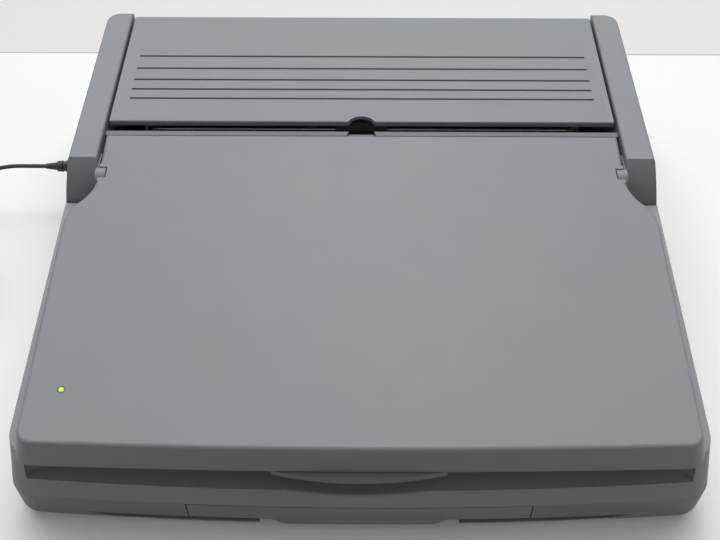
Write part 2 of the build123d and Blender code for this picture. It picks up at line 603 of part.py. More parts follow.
# ---------------------------------------------------------------- latch
LIP_Z = (48.0, 52.4)
with BuildPart() as latch:
    with BuildSketch(Plane.XY.offset(LIP_Z[0])):
        with BuildLine():
            ThreePointArc((-LATCH_HALF, -162.5), (0, -167.5), (LATCH_HALF, -162.5))
            Polyline(
                (LATCH_HALF, -162.5), (LATCH_HALF - 4, -154), (4 - LATCH_HALF, -154), (-LATCH_HALF, -162.5)
            )
        make_face()
    extrude(amount=LIP_Z[1] - LIP_Z[0])
    with Locations(*[(sign * 28, -153.5, LIP_Z[0]) for sign in (-1, 1)]):
        Box(6, 5, 3, align=(Align.CENTER, Align.MAX, Align.MIN))
    with Locations(*[(sign * 36, -154, LIP_Z[1] - 0.5) for sign in (-1, 1)]):
        Box(6, 2.6, 7, align=(Align.CENTER, Align.MAX, Align.MIN))
finish(latch, "latch_bar")

with BuildPart() as dial:
    hub = AXIS + ALONG * DIAL_V + OUT * DIAL_W + Vector(DIAL_U, 0, 0)
    with Locations(Plane(origin=hub, x_dir=ALONG, z_dir=(1, 0, 0))):
        Cylinder(6.0, 3.4)
        Cylinder(AXLE_R, 8.4)
        with PolarLocations(6.0, 24):
            Cylinder(0.3, 4, mode=Mode.SUBTRACT)
finish(dial, "contrast_dial")

# ---------------------------------------------------------------- printer cover
NOTCH_HALF = 9.3
PIVOT_Y, PIVOT_Z = COVER_PIVOT
PIVOT_R = TOP_Z - PIVOT_Z
with BuildPart() as cover:
    skin = 2.4
    low = radians(-50)
    with BuildSketch(side(-COVER_HALF)):
        with BuildLine():
            Polyline((COVER_FRONT_Y, 88.1), (COVER_FRONT_Y, TOP_Z), (PIVOT_Y, TOP_Z))
            ThreePointArc(
                (PIVOT_Y, TOP_Z), (PIVOT_Y + PIVOT_R * cos(0.35), PIVOT_Z + PIVOT_R * sin(0.35)),
                (PIVOT_Y + PIVOT_R * cos(low), PIVOT_Z + PIVOT_R * sin(low)),
            )
            inner = PIVOT_R - skin
            Line(
                (PIVOT_Y + PIVOT_R * cos(low), PIVOT_Z + PIVOT_R * sin(low)),
                (PIVOT_Y + inner * cos(low), PIVOT_Z + inner * sin(low)),
            )
            ThreePointArc(
                (PIVOT_Y + inner * cos(low), PIVOT_Z + inner * sin(low)),
                (PIVOT_Y + inner * cos(0.35), PIVOT_Z + inner * sin(0.35)), (PIVOT_Y, PIVOT_Z + inner),
            )
            Polyline(
                (PIVOT_Y, PIVOT_Z + inner), (COVER_FRONT_Y + 2.4, TOP_Z - skin), (COVER_FRONT_Y + 2.4, 88.1),
                (COVER_FRONT_Y, 88.1),
            )
        make_face()
    extrude(amount=2 * COVER_HALF)
    with BuildSketch(Plane.XY.offset(TOP_Z)):
        with Locations(*[(0, y) for y in GROOVES_Y]):
            SlotOverall(295, 1.6)
    extrude(amount=-0.9, mode=Mode.SUBTRACT)
    with Locations((0, COVER_FRONT_Y - 4.3, TOP_Z)):
        Cylinder(NOTCH_HALF, 12, mode=Mode.SUBTRACT)
    # side flanges, stiffening ribs and the hinge stubs
    for sign in (-1, 1):
        with BuildSketch(side(sign * (COVER_HALF - 1.8))):
            with BuildLine():
                Polyline(
                    (COVER_FRONT_Y + 2.4, 90), (COVER_FRONT_Y + 2.4, 88.1), (150, 86), (158, 80),
                    (PIVOT_Y, 79.6),
                )
                ThreePointArc((PIVOT_Y, 79.6), (PIVOT_Y + 4.1, PIVOT_Z), (PIVOT_Y, 90))
                Line((PIVOT_Y, 90), (COVER_FRONT_Y + 2.4, 90))
            make_face()
        extrude(amount=sign * 1.8)
        with Locations(Pos(sign * (COVER_HALF - 1.8), PIVOT_Y, PIVOT_Z) * Rot(0, sign * 90, 0)):
            Cylinder(2.0, 5.4, align=(Align.CENTER, Align.CENTER, Align.MIN))
    with Locations(*[(x, 110, TOP_Z - skin) for x in (-90, -30, 30, 90)]):
        Box(1.4, 96, 1.6, align=(Align.CENTER, Align.CENTER, Align.MAX))
    top_edges = cover.edges().filter_by(Axis.X).filter_by_position(Axis.Z, TOP_Z - 0.1, TOP_Z + 0.1)
    fillet(top_edges.group_by(Axis.Y)[0], 0.9)
finish(cover, "printer_cover")

# ---------------------------------------------------------------- keyboard
KEY_TOP_W, KEY_FOOT_W = -11.6, -17.6
PLATE_W = -21.2
ROW_V = {
    "bottom": -152.5, "lower": -133.5, "home": -114.5, "upper": -95.5, "number": -76.5, "function": -59.2
}
LEFT_EDGE = -7.5 * KEY_PITCH
# widths in key pitches; a negative number is a gap
ROWS = {
    "number_keys": ("number", [1.0] * 15),
    "upper_row_keys": ("upper", [1.5] + [1.0] * 12 + [1.5]),
    "home_row_keys": ("home", [1.75] + [1.0] * 11 + [2.25]),
    "lower_row_keys": ("lower", [2.25] + [1.0] * 9 + [1.25]),
    "function_keys": ("function", [1.0, -0.5] + ([1.0] * 4 + [-0.5]) * 2 + [1.0] * 4),
    "bottom_row_keys": ("bottom", [1.5, 1.25, 1.25, -5.0, 1.25, 1.25]),
    "space_bar": ("bottom", [-4.0, 5.0]),
    "cursor_keys": ("bottom", [-12.0, 1.0, 1.0, 1.0]),
}


def key_spots(row, widths):
    """Middle of each key in a row, as u, v and its width in pitches."""
    at, spots = 0.0, []
    for width in widths:
        if width > 0:
            spots.append((LEFT_EDGE + (at + width / 2) * KEY_PITCH, ROW_V[row], width))
        at += abs(width)
    return spots


KEYS = {label: key_spots(row, widths) for label, (row, widths) in ROWS.items()}
KEYS["cursor_keys"].append((LEFT_EDGE + 13.5 * KEY_PITCH, ROW_V["lower"], 1.0))

for label, spots in KEYS.items():
    depth = 12.6 if label == "function_keys" else 17.2
    with BuildPart() as row_keys:
        for u, v, width in spots:
            for w, trim, shorter in ((KEY_FOOT_W, 1.8, 0.0), (KEY_TOP_W, 6.0, 4.0)):
                with BuildSketch(slope_plane(w)):
                    with Locations((u, v + shorter / 8)):
                        Rectangle(width * KEY_PITCH - trim, depth - shorter)
            loft(ruled=True)
            with BuildSketch(slope_plane(KEY_FOOT_W)):
                with Locations((u, v)):
                    Rectangle(5, 5)
            extrude(amount=-6.2)
    finish(row_keys, label)

with BuildPart() as plate:
    with BuildSketch(slope_plane(PLATE_W)):
        with Locations((0, sum(KEY_WELL_V) / 2)):
            Rectangle(2 * KEY_WELL_HALF + 8, KEY_WELL_V[1] - KEY_WELL_V[0] - 2)
        with Locations(*[(u, v) for spots in KEYS.values() for u, v, _ in spots]):
            Rectangle(5.4, 5.4, mode=Mode.SUBTRACT)
    extrude(amount=-1.4)
    with BuildSketch(slope_plane(PLATE_W)):
        with Locations(*[(sign * (KEY_WELL_HALF + 3.2), sum(KEY_WELL_V) / 2) for sign in (-1, 1)]):
            Rectangle(1.6, 100)
    extrude(amount=DECK_W - WALL - 0.1 - PLATE_W)
finish(plate, "keyboard_plate")

# ---------------------------------------------------------------- electronics in the tray
with BuildPart() as main_board:
    with Locations((-45, -8, 12)):
        Box(180, 100, 1.6, align=(Align.CENTER, Align.CENTER, Align.MIN))
    with Locations(*[(x, y, FLOOR_Z + WALL) for x in (-128, 38) for y in (-52, 36)]):
        Cylinder(3, 12 - FLOOR_Z - WALL, align=(Align.CENTER, Align.CENTER, Align.MIN))
    with Locations((-90, -20, 13.6), (-45, -20, 13.6), (-2, -20, 13.6)):
        Box(28, 28, 2.6, align=(Align.CENTER, Align.CENTER, Align.MIN))
    with Locations((-45, 20, 13.6)):
        with GridLocations(24, 16, 6, 2):
            Box(18, 7, 3, align=(Align.CENTER, Align.CENTER, Align.MIN))
    with Locations((40, 10, 13.6), (-128, 0, 13.6)):
        Box(6, 50, 8, align=(Align.CENTER, Align.CENTER, Align.MIN))
finish(main_board, "main_board")

with BuildPart() as power_board:
    with Locations((-105, 110, 11)):
        Box(90, 70, 1.6, align=(Align.CENTER, Align.CENTER, Align.MIN))
    with Locations(*[(x, y, FLOOR_Z + WALL) for x in (-145, -65) for y in (80, 140)]):
        Cylinder(3, 11 - FLOOR_Z - WALL, align=(Align.CENTER, Align.CENTER, Align.MIN))
    with Locations((-80, 100, 12.6)):
        Box(22, 18, 12, align=(Align.CENTER, Align.CENTER, Align.MIN))
    with Locations((-110, 95, 12.6), (-124, 95, 12.6), (-110, 125, 12.6)):
        Cylinder(5, 13, align=(Align.CENTER, Align.CENTER, Align.MIN))
    with Locations((-135, 125, 12.6)):
        Box(4, 34, 12, align=(Align.CENTER, Align.CENTER, Align.MIN))
finish(power_board, "power_board")

with BuildPart() as speaker:
    with Locations(slope_plane(DECK_W - WALL, -40, 118)):
        Cylinder(8.0, 2, align=(Align.CENTER, Align.CENTER, Align.MAX))
        with Locations((0, 0, -2)):
            Cone(5, 8, 3, align=(Align.CENTER, Align.CENTER, Align.MAX))
            with Locations((0, 0, -3)):
                Cylinder(5, 4, align=(Align.CENTER, Align.CENTER, Align.MAX))
finish(speaker, "speaker")

# ---------------------------------------------------------------- disk drive in the right-hand side
FACE_X = 185.2
SLOT_MID_Z = 19.5
SHUTTER_AXIS = (FACE_X - 2.6, DRIVE_Y, SLOT_MID_Z + 1.4)
with BuildPart() as drive:
    with Locations((61, DRIVE_Y, DRIVE_Z[0] + 0.3)):
        Box(121, 2 * DRIVE_HALF - 1.6, 17.0, align=(Align.MIN, Align.CENTER, Align.MIN))
    with Locations((FACE_X - 3.2, DRIVE_Y, DRIVE_Z[0] + 0.1)):
        Box(3.2, 2 * DRIVE_HALF, 17.3, align=(Align.MIN, Align.CENTER, Align.MIN))
    # room for a disk, its mouth, and the recess of the eject button
    with Locations((FACE_X, DRIVE_Y, SLOT_MID_Z)):
        Box(100, 92, 4.6, align=(Align.MAX, Align.CENTER, Align.CENTER), mode=Mode.SUBTRACT)
        Box(7.6, 96, 6.6, align=(Align.MAX, Align.CENTER, Align.CENTER), mode=Mode.SUBTRACT)
    with Locations(Pos(*SHUTTER_AXIS) * Rot(90, 0, 0)):
        Cylinder(0.85, 99.4, mode=Mode.SUBTRACT)
    with Locations((FACE_X, DRIVE_Y + 36, DRIVE_Z[0] + 4)):
        Box(12, 14, 5.4, align=(Align.MAX, Align.CENTER, Align.CENTER), mode=Mode.SUBTRACT)
    # feet on the tray
    with Locations(*[(x, DRIVE_Y + y, FLOOR_Z + WALL) for x in (70, 165) for y in (-44, 44)]):
        Cylinder(3, 2.8, align=(Align.CENTER, Align.CENTER, Align.MIN))
finish(drive, "floppy_drive")

with BuildPart() as shutter:
    with BuildSketch(Plane.XZ.offset(-DRIVE_Y + 47.4)):
        with Locations((SHUTTER_AXIS[0], SHUTTER_AXIS[2])):
            Circle(1.0)
        with Locations((SHUTTER_AXIS[0], SLOT_MID_Z - 0.6)):
            Rectangle(1.4, 4.2)
    extrude(amount=-94.8)
    with Locations(Pos(*SHUTTER_AXIS) * Rot(90, 0, 0)):
        Cylinder(0.8, 99)
finish(shutter, "floppy_shutter")

with BuildPart() as eject:
    with Locations((FACE_X + 0.6, DRIVE_Y + 36, DRIVE_Z[0] + 4)):
        Box(6.4, 13.4, 4.8, align=(Align.MAX, Align.CENTER, Align.CENTER))
    fillet(eject.faces().sort_by(Axis.X)[-1].edges(), 0.6)
finish(eject, "eject_button")

# ---------------------------------------------------------------- printer under the cover
CHASSIS_Z = 28.0
PLATE_X, PLATE_T = 140.0, 2.0
PLATEN = (128.0, 62.0)
PLATEN_R, SHAFT_R, BORE_GAP = 9.0, 3.0, 0.05
GUIDE = (92.0, 54.0)
MODULE = 1.0
TEETH = {"platen": 30, "idler": 20, "pinion": 12}
IDLER = (PLATEN[0] + 25 * cos(radians(-10)), PLATEN[1] + 25 * sin(radians(-10)))
MOTOR = (IDLER[0], IDLER[1] - 16)
GEAR_X = -143.4
BELT_Z, BELT_X, BELT_Y, PULLEY_R = 43.5, 126.0, 101.0, 7.0
BAIL_PIVOT = (149.0, 76.0)

with BuildPart() as chassis:
    with Locations((0, 111, CHASSIS_Z)):
        Box(2 * (PLATE_X + PLATE_T), 100, 2, align=(Align.CENTER, Align.CENTER, Align.MIN))
    with Locations(*[(x, y, FLOOR_Z + WALL) for x in (-132, 0, 132) for y in (68, 155)]):
        Cylinder(4, CHASSIS_Z - FLOOR_Z - WALL, align=(Align.CENTER, Align.CENTER, Align.MIN))
    for sign in (-1, 1):
        with BuildSketch(side(sign * PLATE_X)):
            with BuildLine():
                Polyline(
                    (61, CHASSIS_Z), (61, 56), (84, 70), (118, 76), (140, 84), (151, 80.5),
                    (153.5, 73), (161, 68), (161, CHASSIS_Z), close=True,
                )
            make_face()
            for centre, radius in ((PLATEN, SHAFT_R), (GUIDE, SHAFT_R), ((110, 48), 2.0), (BAIL_PIVOT, 1.5)):
                with Locations(centre):
                    Circle(radius + BORE_GAP, mode=Mode.SUBTRACT)
            if sign < 0:
                with Locations(MOTOR):
                    Circle(2.6, mode=Mode.SUBTRACT)
            with Locations((78, 42), (135, 38)):
                Circle(6, mode=Mode.SUBTRACT)
        extrude(amount=sign * PLATE_T)
    # paper guide that curls under the platen
    with BuildSketch(side(-130)):
        with Locations(PLATEN):
            Circle(12.4)
            Circle(11.2, mode=Mode.SUBTRACT)
            Rectangle(40, 40, align=(Align.CENTER, Align.MIN), mode=Mode.SUBTRACT)
            with Locations((-6, 0)):
                Rectangle(20, 40, align=(Align.MAX, Align.CENTER), mode=Mode.SUBTRACT)
    extrude(amount=260)
    # stud for the idler gear, and the post that carries the idle pulley
    with Locations(Pos(GEAR_X - 3.4, *IDLER) * Rot(0, 90, 0)):
        Cylinder(2.0, 5, align=(Align.CENTER, Align.CENTER, Align.MIN))
    with Locations((-BELT_X, BELT_Y, CHASSIS_Z + 2)):
        Cylinder(4, 9.9, align=(Align.CENTER, Align.CENTER, Align.MIN))
        Cylinder(1.5, 17.4, align=(Align.CENTER, Align.CENTER, Align.MIN))
    with Locations(*[(x, PLATEN[0], CHASSIS_Z + 2) for x in (-100, 0, 100)]):
        Box(4, 10, 20.4, align=(Align.CENTER, Align.CENTER, Align.MIN))
finish(chassis, "printer_chassis")

with BuildPart() as shafts:
    for centre, radius in ((GUIDE, SHAFT_R), ((110, 48), 2.0)):
        with Locations(Pos(0, *centre) * Rot(0, 90, 0)):
            Cylinder(radius, 2 * (PLATE_X + PLATE_T) + 1.6)
finish(shafts, "guide_shafts")

with BuildPart() as platen:
    with Locations(Pos(0, *PLATEN) * Rot(0, 90, 0)):
        Cylinder(PLATEN_R, 268)
    with Locations(Pos(-0.7, *PLATEN) * Rot(0, 90, 0)):
        Cylinder(SHAFT_R, 292.2)
finish(platen, "platen_roller")


def gear_sketch(teeth, bore):
    """Spur gear outline: tapered teeth on a root circle, with a bore."""
    pitch_r = MODULE * teeth / 2
    with BuildSketch(mode=Mode.PRIVATE) as outline:
        Circle(pitch_r - 1.15 * MODULE)
        with PolarLocations(pitch_r, teeth):
            Polygon((-1.4, 0.9), (-1.4, -0.9), (0, -0.66), (0.85, -0.3), (0.85, 0.3), (0, 0.66), align=None)
        Circle(bore, mode=Mode.SUBTRACT)
    return outline.sketch


def gear_plane(centre):
    """Plane of the gear train at a shaft: x is the case's Y, y points down, outwards is -X."""
    return Plane(origin=(GEAR_X, *centre), x_dir=(0, 1, 0), z_dir=(-1, 0, 0))


def mesh_phase(start, start_teeth, start_phase, end, end_teeth):
    """Turn of the second gear, in degrees, that puts its gap where the first gear has a tooth."""
    heading = degrees(atan2(start[1] - end[1], end[0] - start[0]))
    share = ((heading - start_phase) / (360 / start_teeth)) % 1
    return heading + 180 + (share + 0.5) * 360 / end_teeth


IDLER_PHASE = mesh_phase(PLATEN, TEETH["platen"], 0.0, IDLER, TEETH["idler"])
PINION_PHASE = mesh_phase(IDLER, TEETH["idler"], IDLER_PHASE, MOTOR, TEETH["pinion"])

with BuildPart() as platen_gear:
    with BuildSketch(gear_plane(PLATEN)):
        add(gear_sketch(TEETH["platen"], SHAFT_R + BORE_GAP))
        with PolarLocations(8.5, 5):
            Circle(2.2, mode=Mode.SUBTRACT)
    extrude(amount=3.0)
finish(platen_gear, "platen_gear")

with BuildPart() as idler_gear:
    with BuildSketch(gear_plane(IDLER)):
        add(gear_sketch(TEETH["idler"], 2.0 + BORE_GAP), rotation=IDLER_PHASE)
    extrude(amount=3.0)
finish(idler_gear, "idler_gear")

with BuildPart() as pinion:
    with BuildSketch(gear_plane(MOTOR)):
        add(gear_sketch(TEETH["pinion"], 1.0 + BORE_GAP), rotation=PINION_PHASE)
    extrude(amount=3.0)
finish(pinion, "motor_pinion")

MOTOR_R = 10.5
with BuildPart() as feed_motor:
    with Locations(Pos(1.2 - PLATE_X, *MOTOR) * Rot(0, 90, 0)):
        Cylinder(MOTOR_R, 19, align=(Align.CENTER, Align.CENTER, Align.MIN))
    with Locations(Pos(GEAR_X - 3.3, *MOTOR) * Rot(0, 90, 0)):
        Cylinder(1.0, 8.5, align=(Align.CENTER, Align.CENTER, Align.MIN))
    # flange against the side plate
    with BuildSketch(side(0.1 - PLATE_X)):
        with Locations(MOTOR):
            SlotOverall(21.8, 8, rotation=90)
            SlotOverall(26, 8)
            Circle(MOTOR_R)
    extrude(amount=1.2)
finish(feed_motor, "feed_motor")

# ---------------------------------------------------------------- print carriage
CARRIAGE_HALF = 17.0
with BuildPart() as carriage:
    with BuildSketch(side(-CARRIAGE_HALF)):
        with BuildLine():
            Polyline((83, 47), (114, 47), (114, 65), (87, 65), (83, 61), close=True)
        make_face()
        with Locations(GUIDE):
            Circle(SHAFT_R + BORE_GAP, mode=Mode.SUBTRACT)
        with Locations((110, 46)):
            Rectangle(4.4, 9, mode=Mode.SUBTRACT)
    extrude(amount=2 * CARRIAGE_HALF)
finish(carriage, "print_carriage")

with BuildPart() as head:
    with Locations((0, 116.8, 56)):
        Box(16, 1.4, 12, align=(Align.CENTER, Align.MIN, Align.MIN))
    with Locations((0, 109, 65)):
        Box(20, 9.2, 3, align=(Align.CENTER, Align.MIN, Align.MIN))
finish(head, "thermal_head")

with BuildPart() as cassette:
    with BuildSketch(Plane.XY.offset(69.4)):
        with Locations((0, 99)):
            RectangleRounded(64, 24, 4)
        with Locations((0, 111.6)):
            Rectangle(22, 2.4)
    extrude(amount=8)
    with BuildSketch(Plane.XY.offset(77.4)):
        with Locations(*[(x, 99) for x in (-19, 19)]):
            Circle(8)
            Circle(4, mode=Mode.SUBTRACT)
    extrude(amount=-1.2, mode=Mode.SUBTRACT)
    with Locations(*[(x, 94, 65) for x in (-8, 8)]):
        Box(6, 6, 4.4, align=(Align.CENTER, Align.CENTER, Align.MIN))
finish(cassette, "ribbon_cassette")

for label, sign in (("drive_pulley", 1), ("idle_pulley", -1)):
    with BuildPart() as pulley:
        with Locations((sign * BELT_X, BELT_Y, BELT_Z - 3.0)):
            Cylinder(PULLEY_R + 1.2, 0.9, align=(Align.CENTER, Align.CENTER, Align.MIN))
            Cylinder(PULLEY_R, 5.6, align=(Align.CENTER, Align.CENTER, Align.MIN))
            with PolarLocations(PULLEY_R + 0.1, 20):
                Box(0.7, 0.8, 12, mode=Mode.SUBTRACT)
        with Locations((sign * BELT_X, BELT_Y, BELT_Z - 5)):
            Cylinder(1.5 + BORE_GAP, 20, mode=Mode.SUBTRACT)
    finish(pulley, label)

with BuildPart() as belt:
    with BuildSketch(Plane.XY.offset(BELT_Z - 1.9)):
        with Locations((0, BELT_Y)):
            SlotCenterToCenter(2 * BELT_X, 2 * (PULLEY_R + 1.3))
            SlotCenterToCenter(2 * BELT_X, 2 * (PULLEY_R + 0.3), mode=Mode.SUBTRACT)
    extrude(amount=4.2)
finish(belt, "carriage_belt")

with BuildPart() as carriage_motor:
    with Locations((BELT_X, BELT_Y, CHASSIS_Z + 2.1)):
        Cylinder(10.5, 9.8, align=(Align.CENTER, Align.CENTER, Align.MIN))
        Cylinder(1.5, 17.4, align=(Align.CENTER, Align.CENTER, Align.MIN))
finish(carriage_motor, "carriage_motor")

with BuildPart() as bail:
    for sign in (-1, 1):
        with BuildSketch(side(sign * 137.0)):
            with BuildLine():
                Polyline((149, 78.2), (126, 75.6), (126, 72.2), (149, 73.8), close=True)
            make_face()
            with Locations(BAIL_PIVOT):
                Circle(2.6)
        extrude(amount=sign * 1.6)
        with Locations(Pos(sign * 137.0, *BAIL_PIVOT) * Rot(0, sign * 90, 0)):
            Cylinder(1.5, 4.8, align=(Align.CENTER, Align.CENTER, Align.MIN))
    with Locations(Pos(0, 127.2, 73.9) * Rot(0, 90, 0)):
        Cylinder(1.5, 275)
finish(bail, "paper_bail")

# ---------------------------------------------------------------- power switch, jack and plug
# outer face of the tower at the jack's level
TOWER_SIDE = CASE_HALF - 0.6 - (JACK_Z - FLARE_Z) * (3.8 - 0.6) / (53.4 - FLARE_Z)
with BuildPart() as jack:
    with Locations(Pos(-TOWER_SIDE + 0.4, JACK_Y, JACK_Z) * Rot(0, 90, 0)):
        Cylinder(4.4, 6, align=(Align.CENTER, Align.CENTER, Align.MIN))
    with Locations((-TOWER_SIDE + 3.6, JACK_Y, JACK_Z)):
        Box(12, 11, 11, align=(Align.MIN, Align.CENTER, Align.CENTER))
    with Locations((-TOWER_SIDE + 9, JACK_Y, FLOOR_Z + WALL)):
        Box(6, 4, 27.2, align=(Align.CENTER, Align.CENTER, Align.MIN))
    with Locations(Pos(-TOWER_SIDE, JACK_Y, JACK_Z) * Rot(0, 90, 0)):
        Cylinder(2.85, 12, align=(Align.CENTER, Align.CENTER, Align.MIN), mode=Mode.SUBTRACT)
finish(jack, "dc_jack")

PLUG_END_X, RELIEF_END_X = -205.0, -212.5
with BuildPart() as plug:
    with BuildSketch(Plane.XZ.offset(-JACK_Y)):
        with BuildLine():
            Polyline(
                (-TOWER_SIDE + 10, JACK_Z), (-TOWER_SIDE + 10, JACK_Z + 2.75),
                (-TOWER_SIDE - 0.4, JACK_Z + 2.75), (-TOWER_SIDE - 0.4, JACK_Z + 3.8),
                (-199.0, JACK_Z + 3.8), (-199.4, JACK_Z + 3.2),
                (-200.4, JACK_Z + 3.2), (-200.8, JACK_Z + 3.8), (-204.4, JACK_Z + 3.6),
                (PLUG_END_X, JACK_Z + 2.7), (RELIEF_END_X, JACK_Z + CORD_D / 2 + 0.35),
                (RELIEF_END_X, JACK_Z),
                (-TOWER_SIDE + 10, JACK_Z),
            )
        make_face()
    revolve(axis=Axis((0, JACK_Y, JACK_Z), (1, 0, 0)))
    with Locations(Pos(-TOWER_SIDE + 11, JACK_Y, JACK_Z) * Rot(0, 90, 0)):
        Cylinder(1.2, 12, align=(Align.CENTER, Align.CENTER, Align.MAX), mode=Mode.SUBTRACT)
finish(plug, "dc_plug")

# ---------------------------------------------------------------- cord: lead, coil, tie and adapter
LIE_Z = CORD_D / 2 + 0.9  # the coil lies on its tie
COIL_X = -318.0
COIL_TURN_Y = 66.0  # where the lead runs into the coil
OUTER_R, PITCH, LAYER = 24.0, 3.3, 3.6
HALF_TURNS = 9  # in the bottom layer; the top one has one fewer
SWING = 8.0  # how much wider the last half turn is, which swings out to the adapter
ADAPTER_Z = 3.2

LEAD = [
    (RELIEF_END_X, JACK_Y, JACK_Z),
    (-223.0, JACK_Y, JACK_Z),
    (-236.0, 71.7, JACK_Z + 0.4),
    (-249.5, 71.0, JACK_Z - 2.4),
    (-262.0, 69.9, JACK_Z - 9.0),
    (-273.5, 68.6, JACK_Z - 18.5),
    (-286.0, 67.1, 9.0),
    (-300.0, 66.0, LIE_Z),
    (COIL_X, COIL_TURN_Y, LIE_Z),
]


def volume_share(tube, length):
    """The tube's volume over that of a straight round cord of the same length."""
    return round(tube.part.volume / (pi * CORD_D**2 / 4 * length), 4)


def corner_radii(points):
    """Largest smooth arc at each inner point: 0.45 of the shorter run over the tangent of half the turn."""
    radii = []
    for before, here, after in zip(points, points[1:], points[2:]):
        run_in, run_out = Vector(*here) - Vector(*before), Vector(*after) - Vector(*here)
        half_turn = radians(run_in.get_angle(run_out)) / 2
        radii.append(0.45 * min(run_in.length, run_out.length) / tan(half_turn))
    return radii


lead_radii = corner_radii(LEAD)
print("lead radii", [round(radius, 1) for radius in lead_radii])
with BuildPart() as lead:
    with BuildLine():
        lead_path = FilletPolyline(*LEAD, radius=lead_radii)
    with BuildSketch(Plane(origin=lead_path @ 0, z_dir=lead_path % 0)):
        Circle(CORD_D / 2)
    sweep()
lead_length = lead_path.length
print("lead length", round(lead_length, 1), "volume share", volume_share(lead, lead_length))
finish(lead, "cord_lead")


def coil_arcs():
    """Half turns of the coil as start, middle and end points: in along the bottom, up, out on top, off."""
    radii = [OUTER_R - PITCH / 2 * turn for turn in range(HALF_TURNS)]
    radii += [OUTER_R - PITCH / 2 * HALF_TURNS] + radii[:0:-1] + [OUTER_R + SWING]
    levels = [LIE_Z] * HALF_TURNS + [LIE_Z + LAYER] * HALF_TURNS + [ADAPTER_Z]
    arcs, y, z = [], COIL_TURN_Y, LIE_Z
    for turn, (radius, level) in enumerate(zip(radii, levels)):
        way = -1 if turn % 2 == 0 else 1
        end_y = y + way * 2 * radius
        reach = dist((y, z), (end_y, level)) / 2
        middle = (COIL_X + way * reach, (y + end_y) / 2, (z + level) / 2)
        arcs.append(((COIL_X, y, z), middle, (COIL_X, end_y, level)))
        y, z = end_y, level
    return arcs


ARCS = coil_arcs()
COIL_END = ARCS[-1][2]
with BuildPart() as coil:
    with BuildLine():
        coil_path = [ThreePointArc(*arc) for arc in ARCS]
        coil_path.append(
            Line(COIL_END, (COIL_END[0] + 2 * CORD_D, COIL_END[1], COIL_END[2]))
        )
    with BuildSketch(Plane(origin=ARCS[0][0], z_dir=(-1, 0, 0))):
        Circle(CORD_D / 2)
    sweep()
coil_length = sum(edge.length for edge in coil_path)
print("coil length", round(coil_length, 1), "volume share", volume_share(coil, coil_length))
finish(coil, "cord_coil")


def least_gap(path, step=2.0):
    """Least clear distance of the tube to itself, away from the points next to each other on it."""
    points, travelled, total = [], [], 0.0
    for edge in path:
        count = max(2, round(edge.length / step))
        for k in range(count):
            points.append(tuple(edge @ (k / count)))
            travelled.append(total + edge.length * k / count)
        total += edge.length
    gap = 1e9
    for i, here in enumerate(points):
        for j in range(i + 1, len(points)):
            if travelled[j] - travelled[i] > 5 * CORD_D:
                gap = min(gap, dist(points[j], here))
    return gap - CORD_D


print("coil gap to itself", round(least_gap(coil_path), 2))

TIE_NEAR, TIE_FAR = OUTER_R - PITCH / 2 * (HALF_TURNS - 1) - CORD_D / 2 - 1.1, OUTER_R + CORD_D / 2 + 0.5
TIE_TOP = LIE_Z + LAYER + CORD_D / 2 + 0.1
with BuildPart() as tie:
    with BuildSketch(Plane.XZ.offset(-(COIL_TURN_Y - OUTER_R) + 4.0)):
        with Locations((COIL_X - (TIE_NEAR + TIE_FAR) / 2, (TIE_TOP + 0.85) / 2)):
            RectangleRounded(TIE_FAR - TIE_NEAR + 1.6, TIE_TOP - 0.85 + 1.6, 1.4)
            RectangleRounded(TIE_FAR - TIE_NEAR, TIE_TOP - 0.85, 0.8, mode=Mode.SUBTRACT)
    extrude(amount=-4.0)
finish(tie, "cord_tie")

ADAPTER = (50.0, 38.0, 28.0)
ADAPTER_X = COIL_END[0] + 2 * CORD_D + 12.0
with BuildPart() as adapter:
    with Locations((ADAPTER_X, COIL_END[1], 0)):
        Box(*ADAPTER, align=(Align.MIN, Align.CENTER, Align.MIN))
    fillet(adapter.edges().filter_by(Axis.Z), 5)
    chamfer(adapter.faces().filter_by(Axis.Z).edges(), 1.0)
    # raised face that carries the blades, and the strain relief
    with Locations((ADAPTER_X + 25, COIL_END[1] - 18.5, 14)):
        Box(34, 3, 20)
    with BuildSketch(Plane.XZ.offset(-COIL_END[1])):
        with BuildLine():
            Polyline(
                (ADAPTER_X - 12, ADAPTER_Z), (ADAPTER_X - 12, ADAPTER_Z + 1.8),
                (ADAPTER_X - 1, ADAPTER_Z + 3.0), (ADAPTER_X + 1, ADAPTER_Z + 3.0),
                (ADAPTER_X + 1, ADAPTER_Z), close=True,
            )
        make_face()
    revolve(axis=Axis((0, COIL_END[1], ADAPTER_Z), (1, 0, 0)))
finish(adapter, "adapter_case")

with BuildPart() as blades:
    with Locations(*[(ADAPTER_X + 25 + x, COIL_END[1] - 20.0, 14) for x in (-6.35, 6.35)]):
        Box(1.5, 17, 6.4, align=(Align.CENTER, Align.MAX, Align.CENTER))
    fillet(blades.edges().filter_by(Axis.X).group_by(Axis.Y)[0], 1.6)
finish(blades, "adapter_blades")

with BuildPart() as switch:
    with Locations((-184.7, SWITCH_Y - 6.0, SWITCH_Z)):
        Box(6, 6, 4.4, align=(Align.MIN, Align.MIN, Align.CENTER))
    with Locations((-179.4, SWITCH_Y, SWITCH_Z)):
        Box(1.2, 22, 8, align=(Align.MIN, Align.CENTER, Align.CENTER))
finish(switch, "power_switch")
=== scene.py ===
"""A portable word processor with its lid closed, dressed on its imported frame.

Lengths are metres in the frame's axes: X to the right, Y to the rear, Z up, and
the feet stand on Z = 0. The lid has its own axes: u across, v up its slope from
the hinge axis, and w square out of its top.
"""

import json
import logging
from collections.abc import Callable
from dataclasses import dataclass, field
from enum import Enum
from math import cos, pi, radians, sin

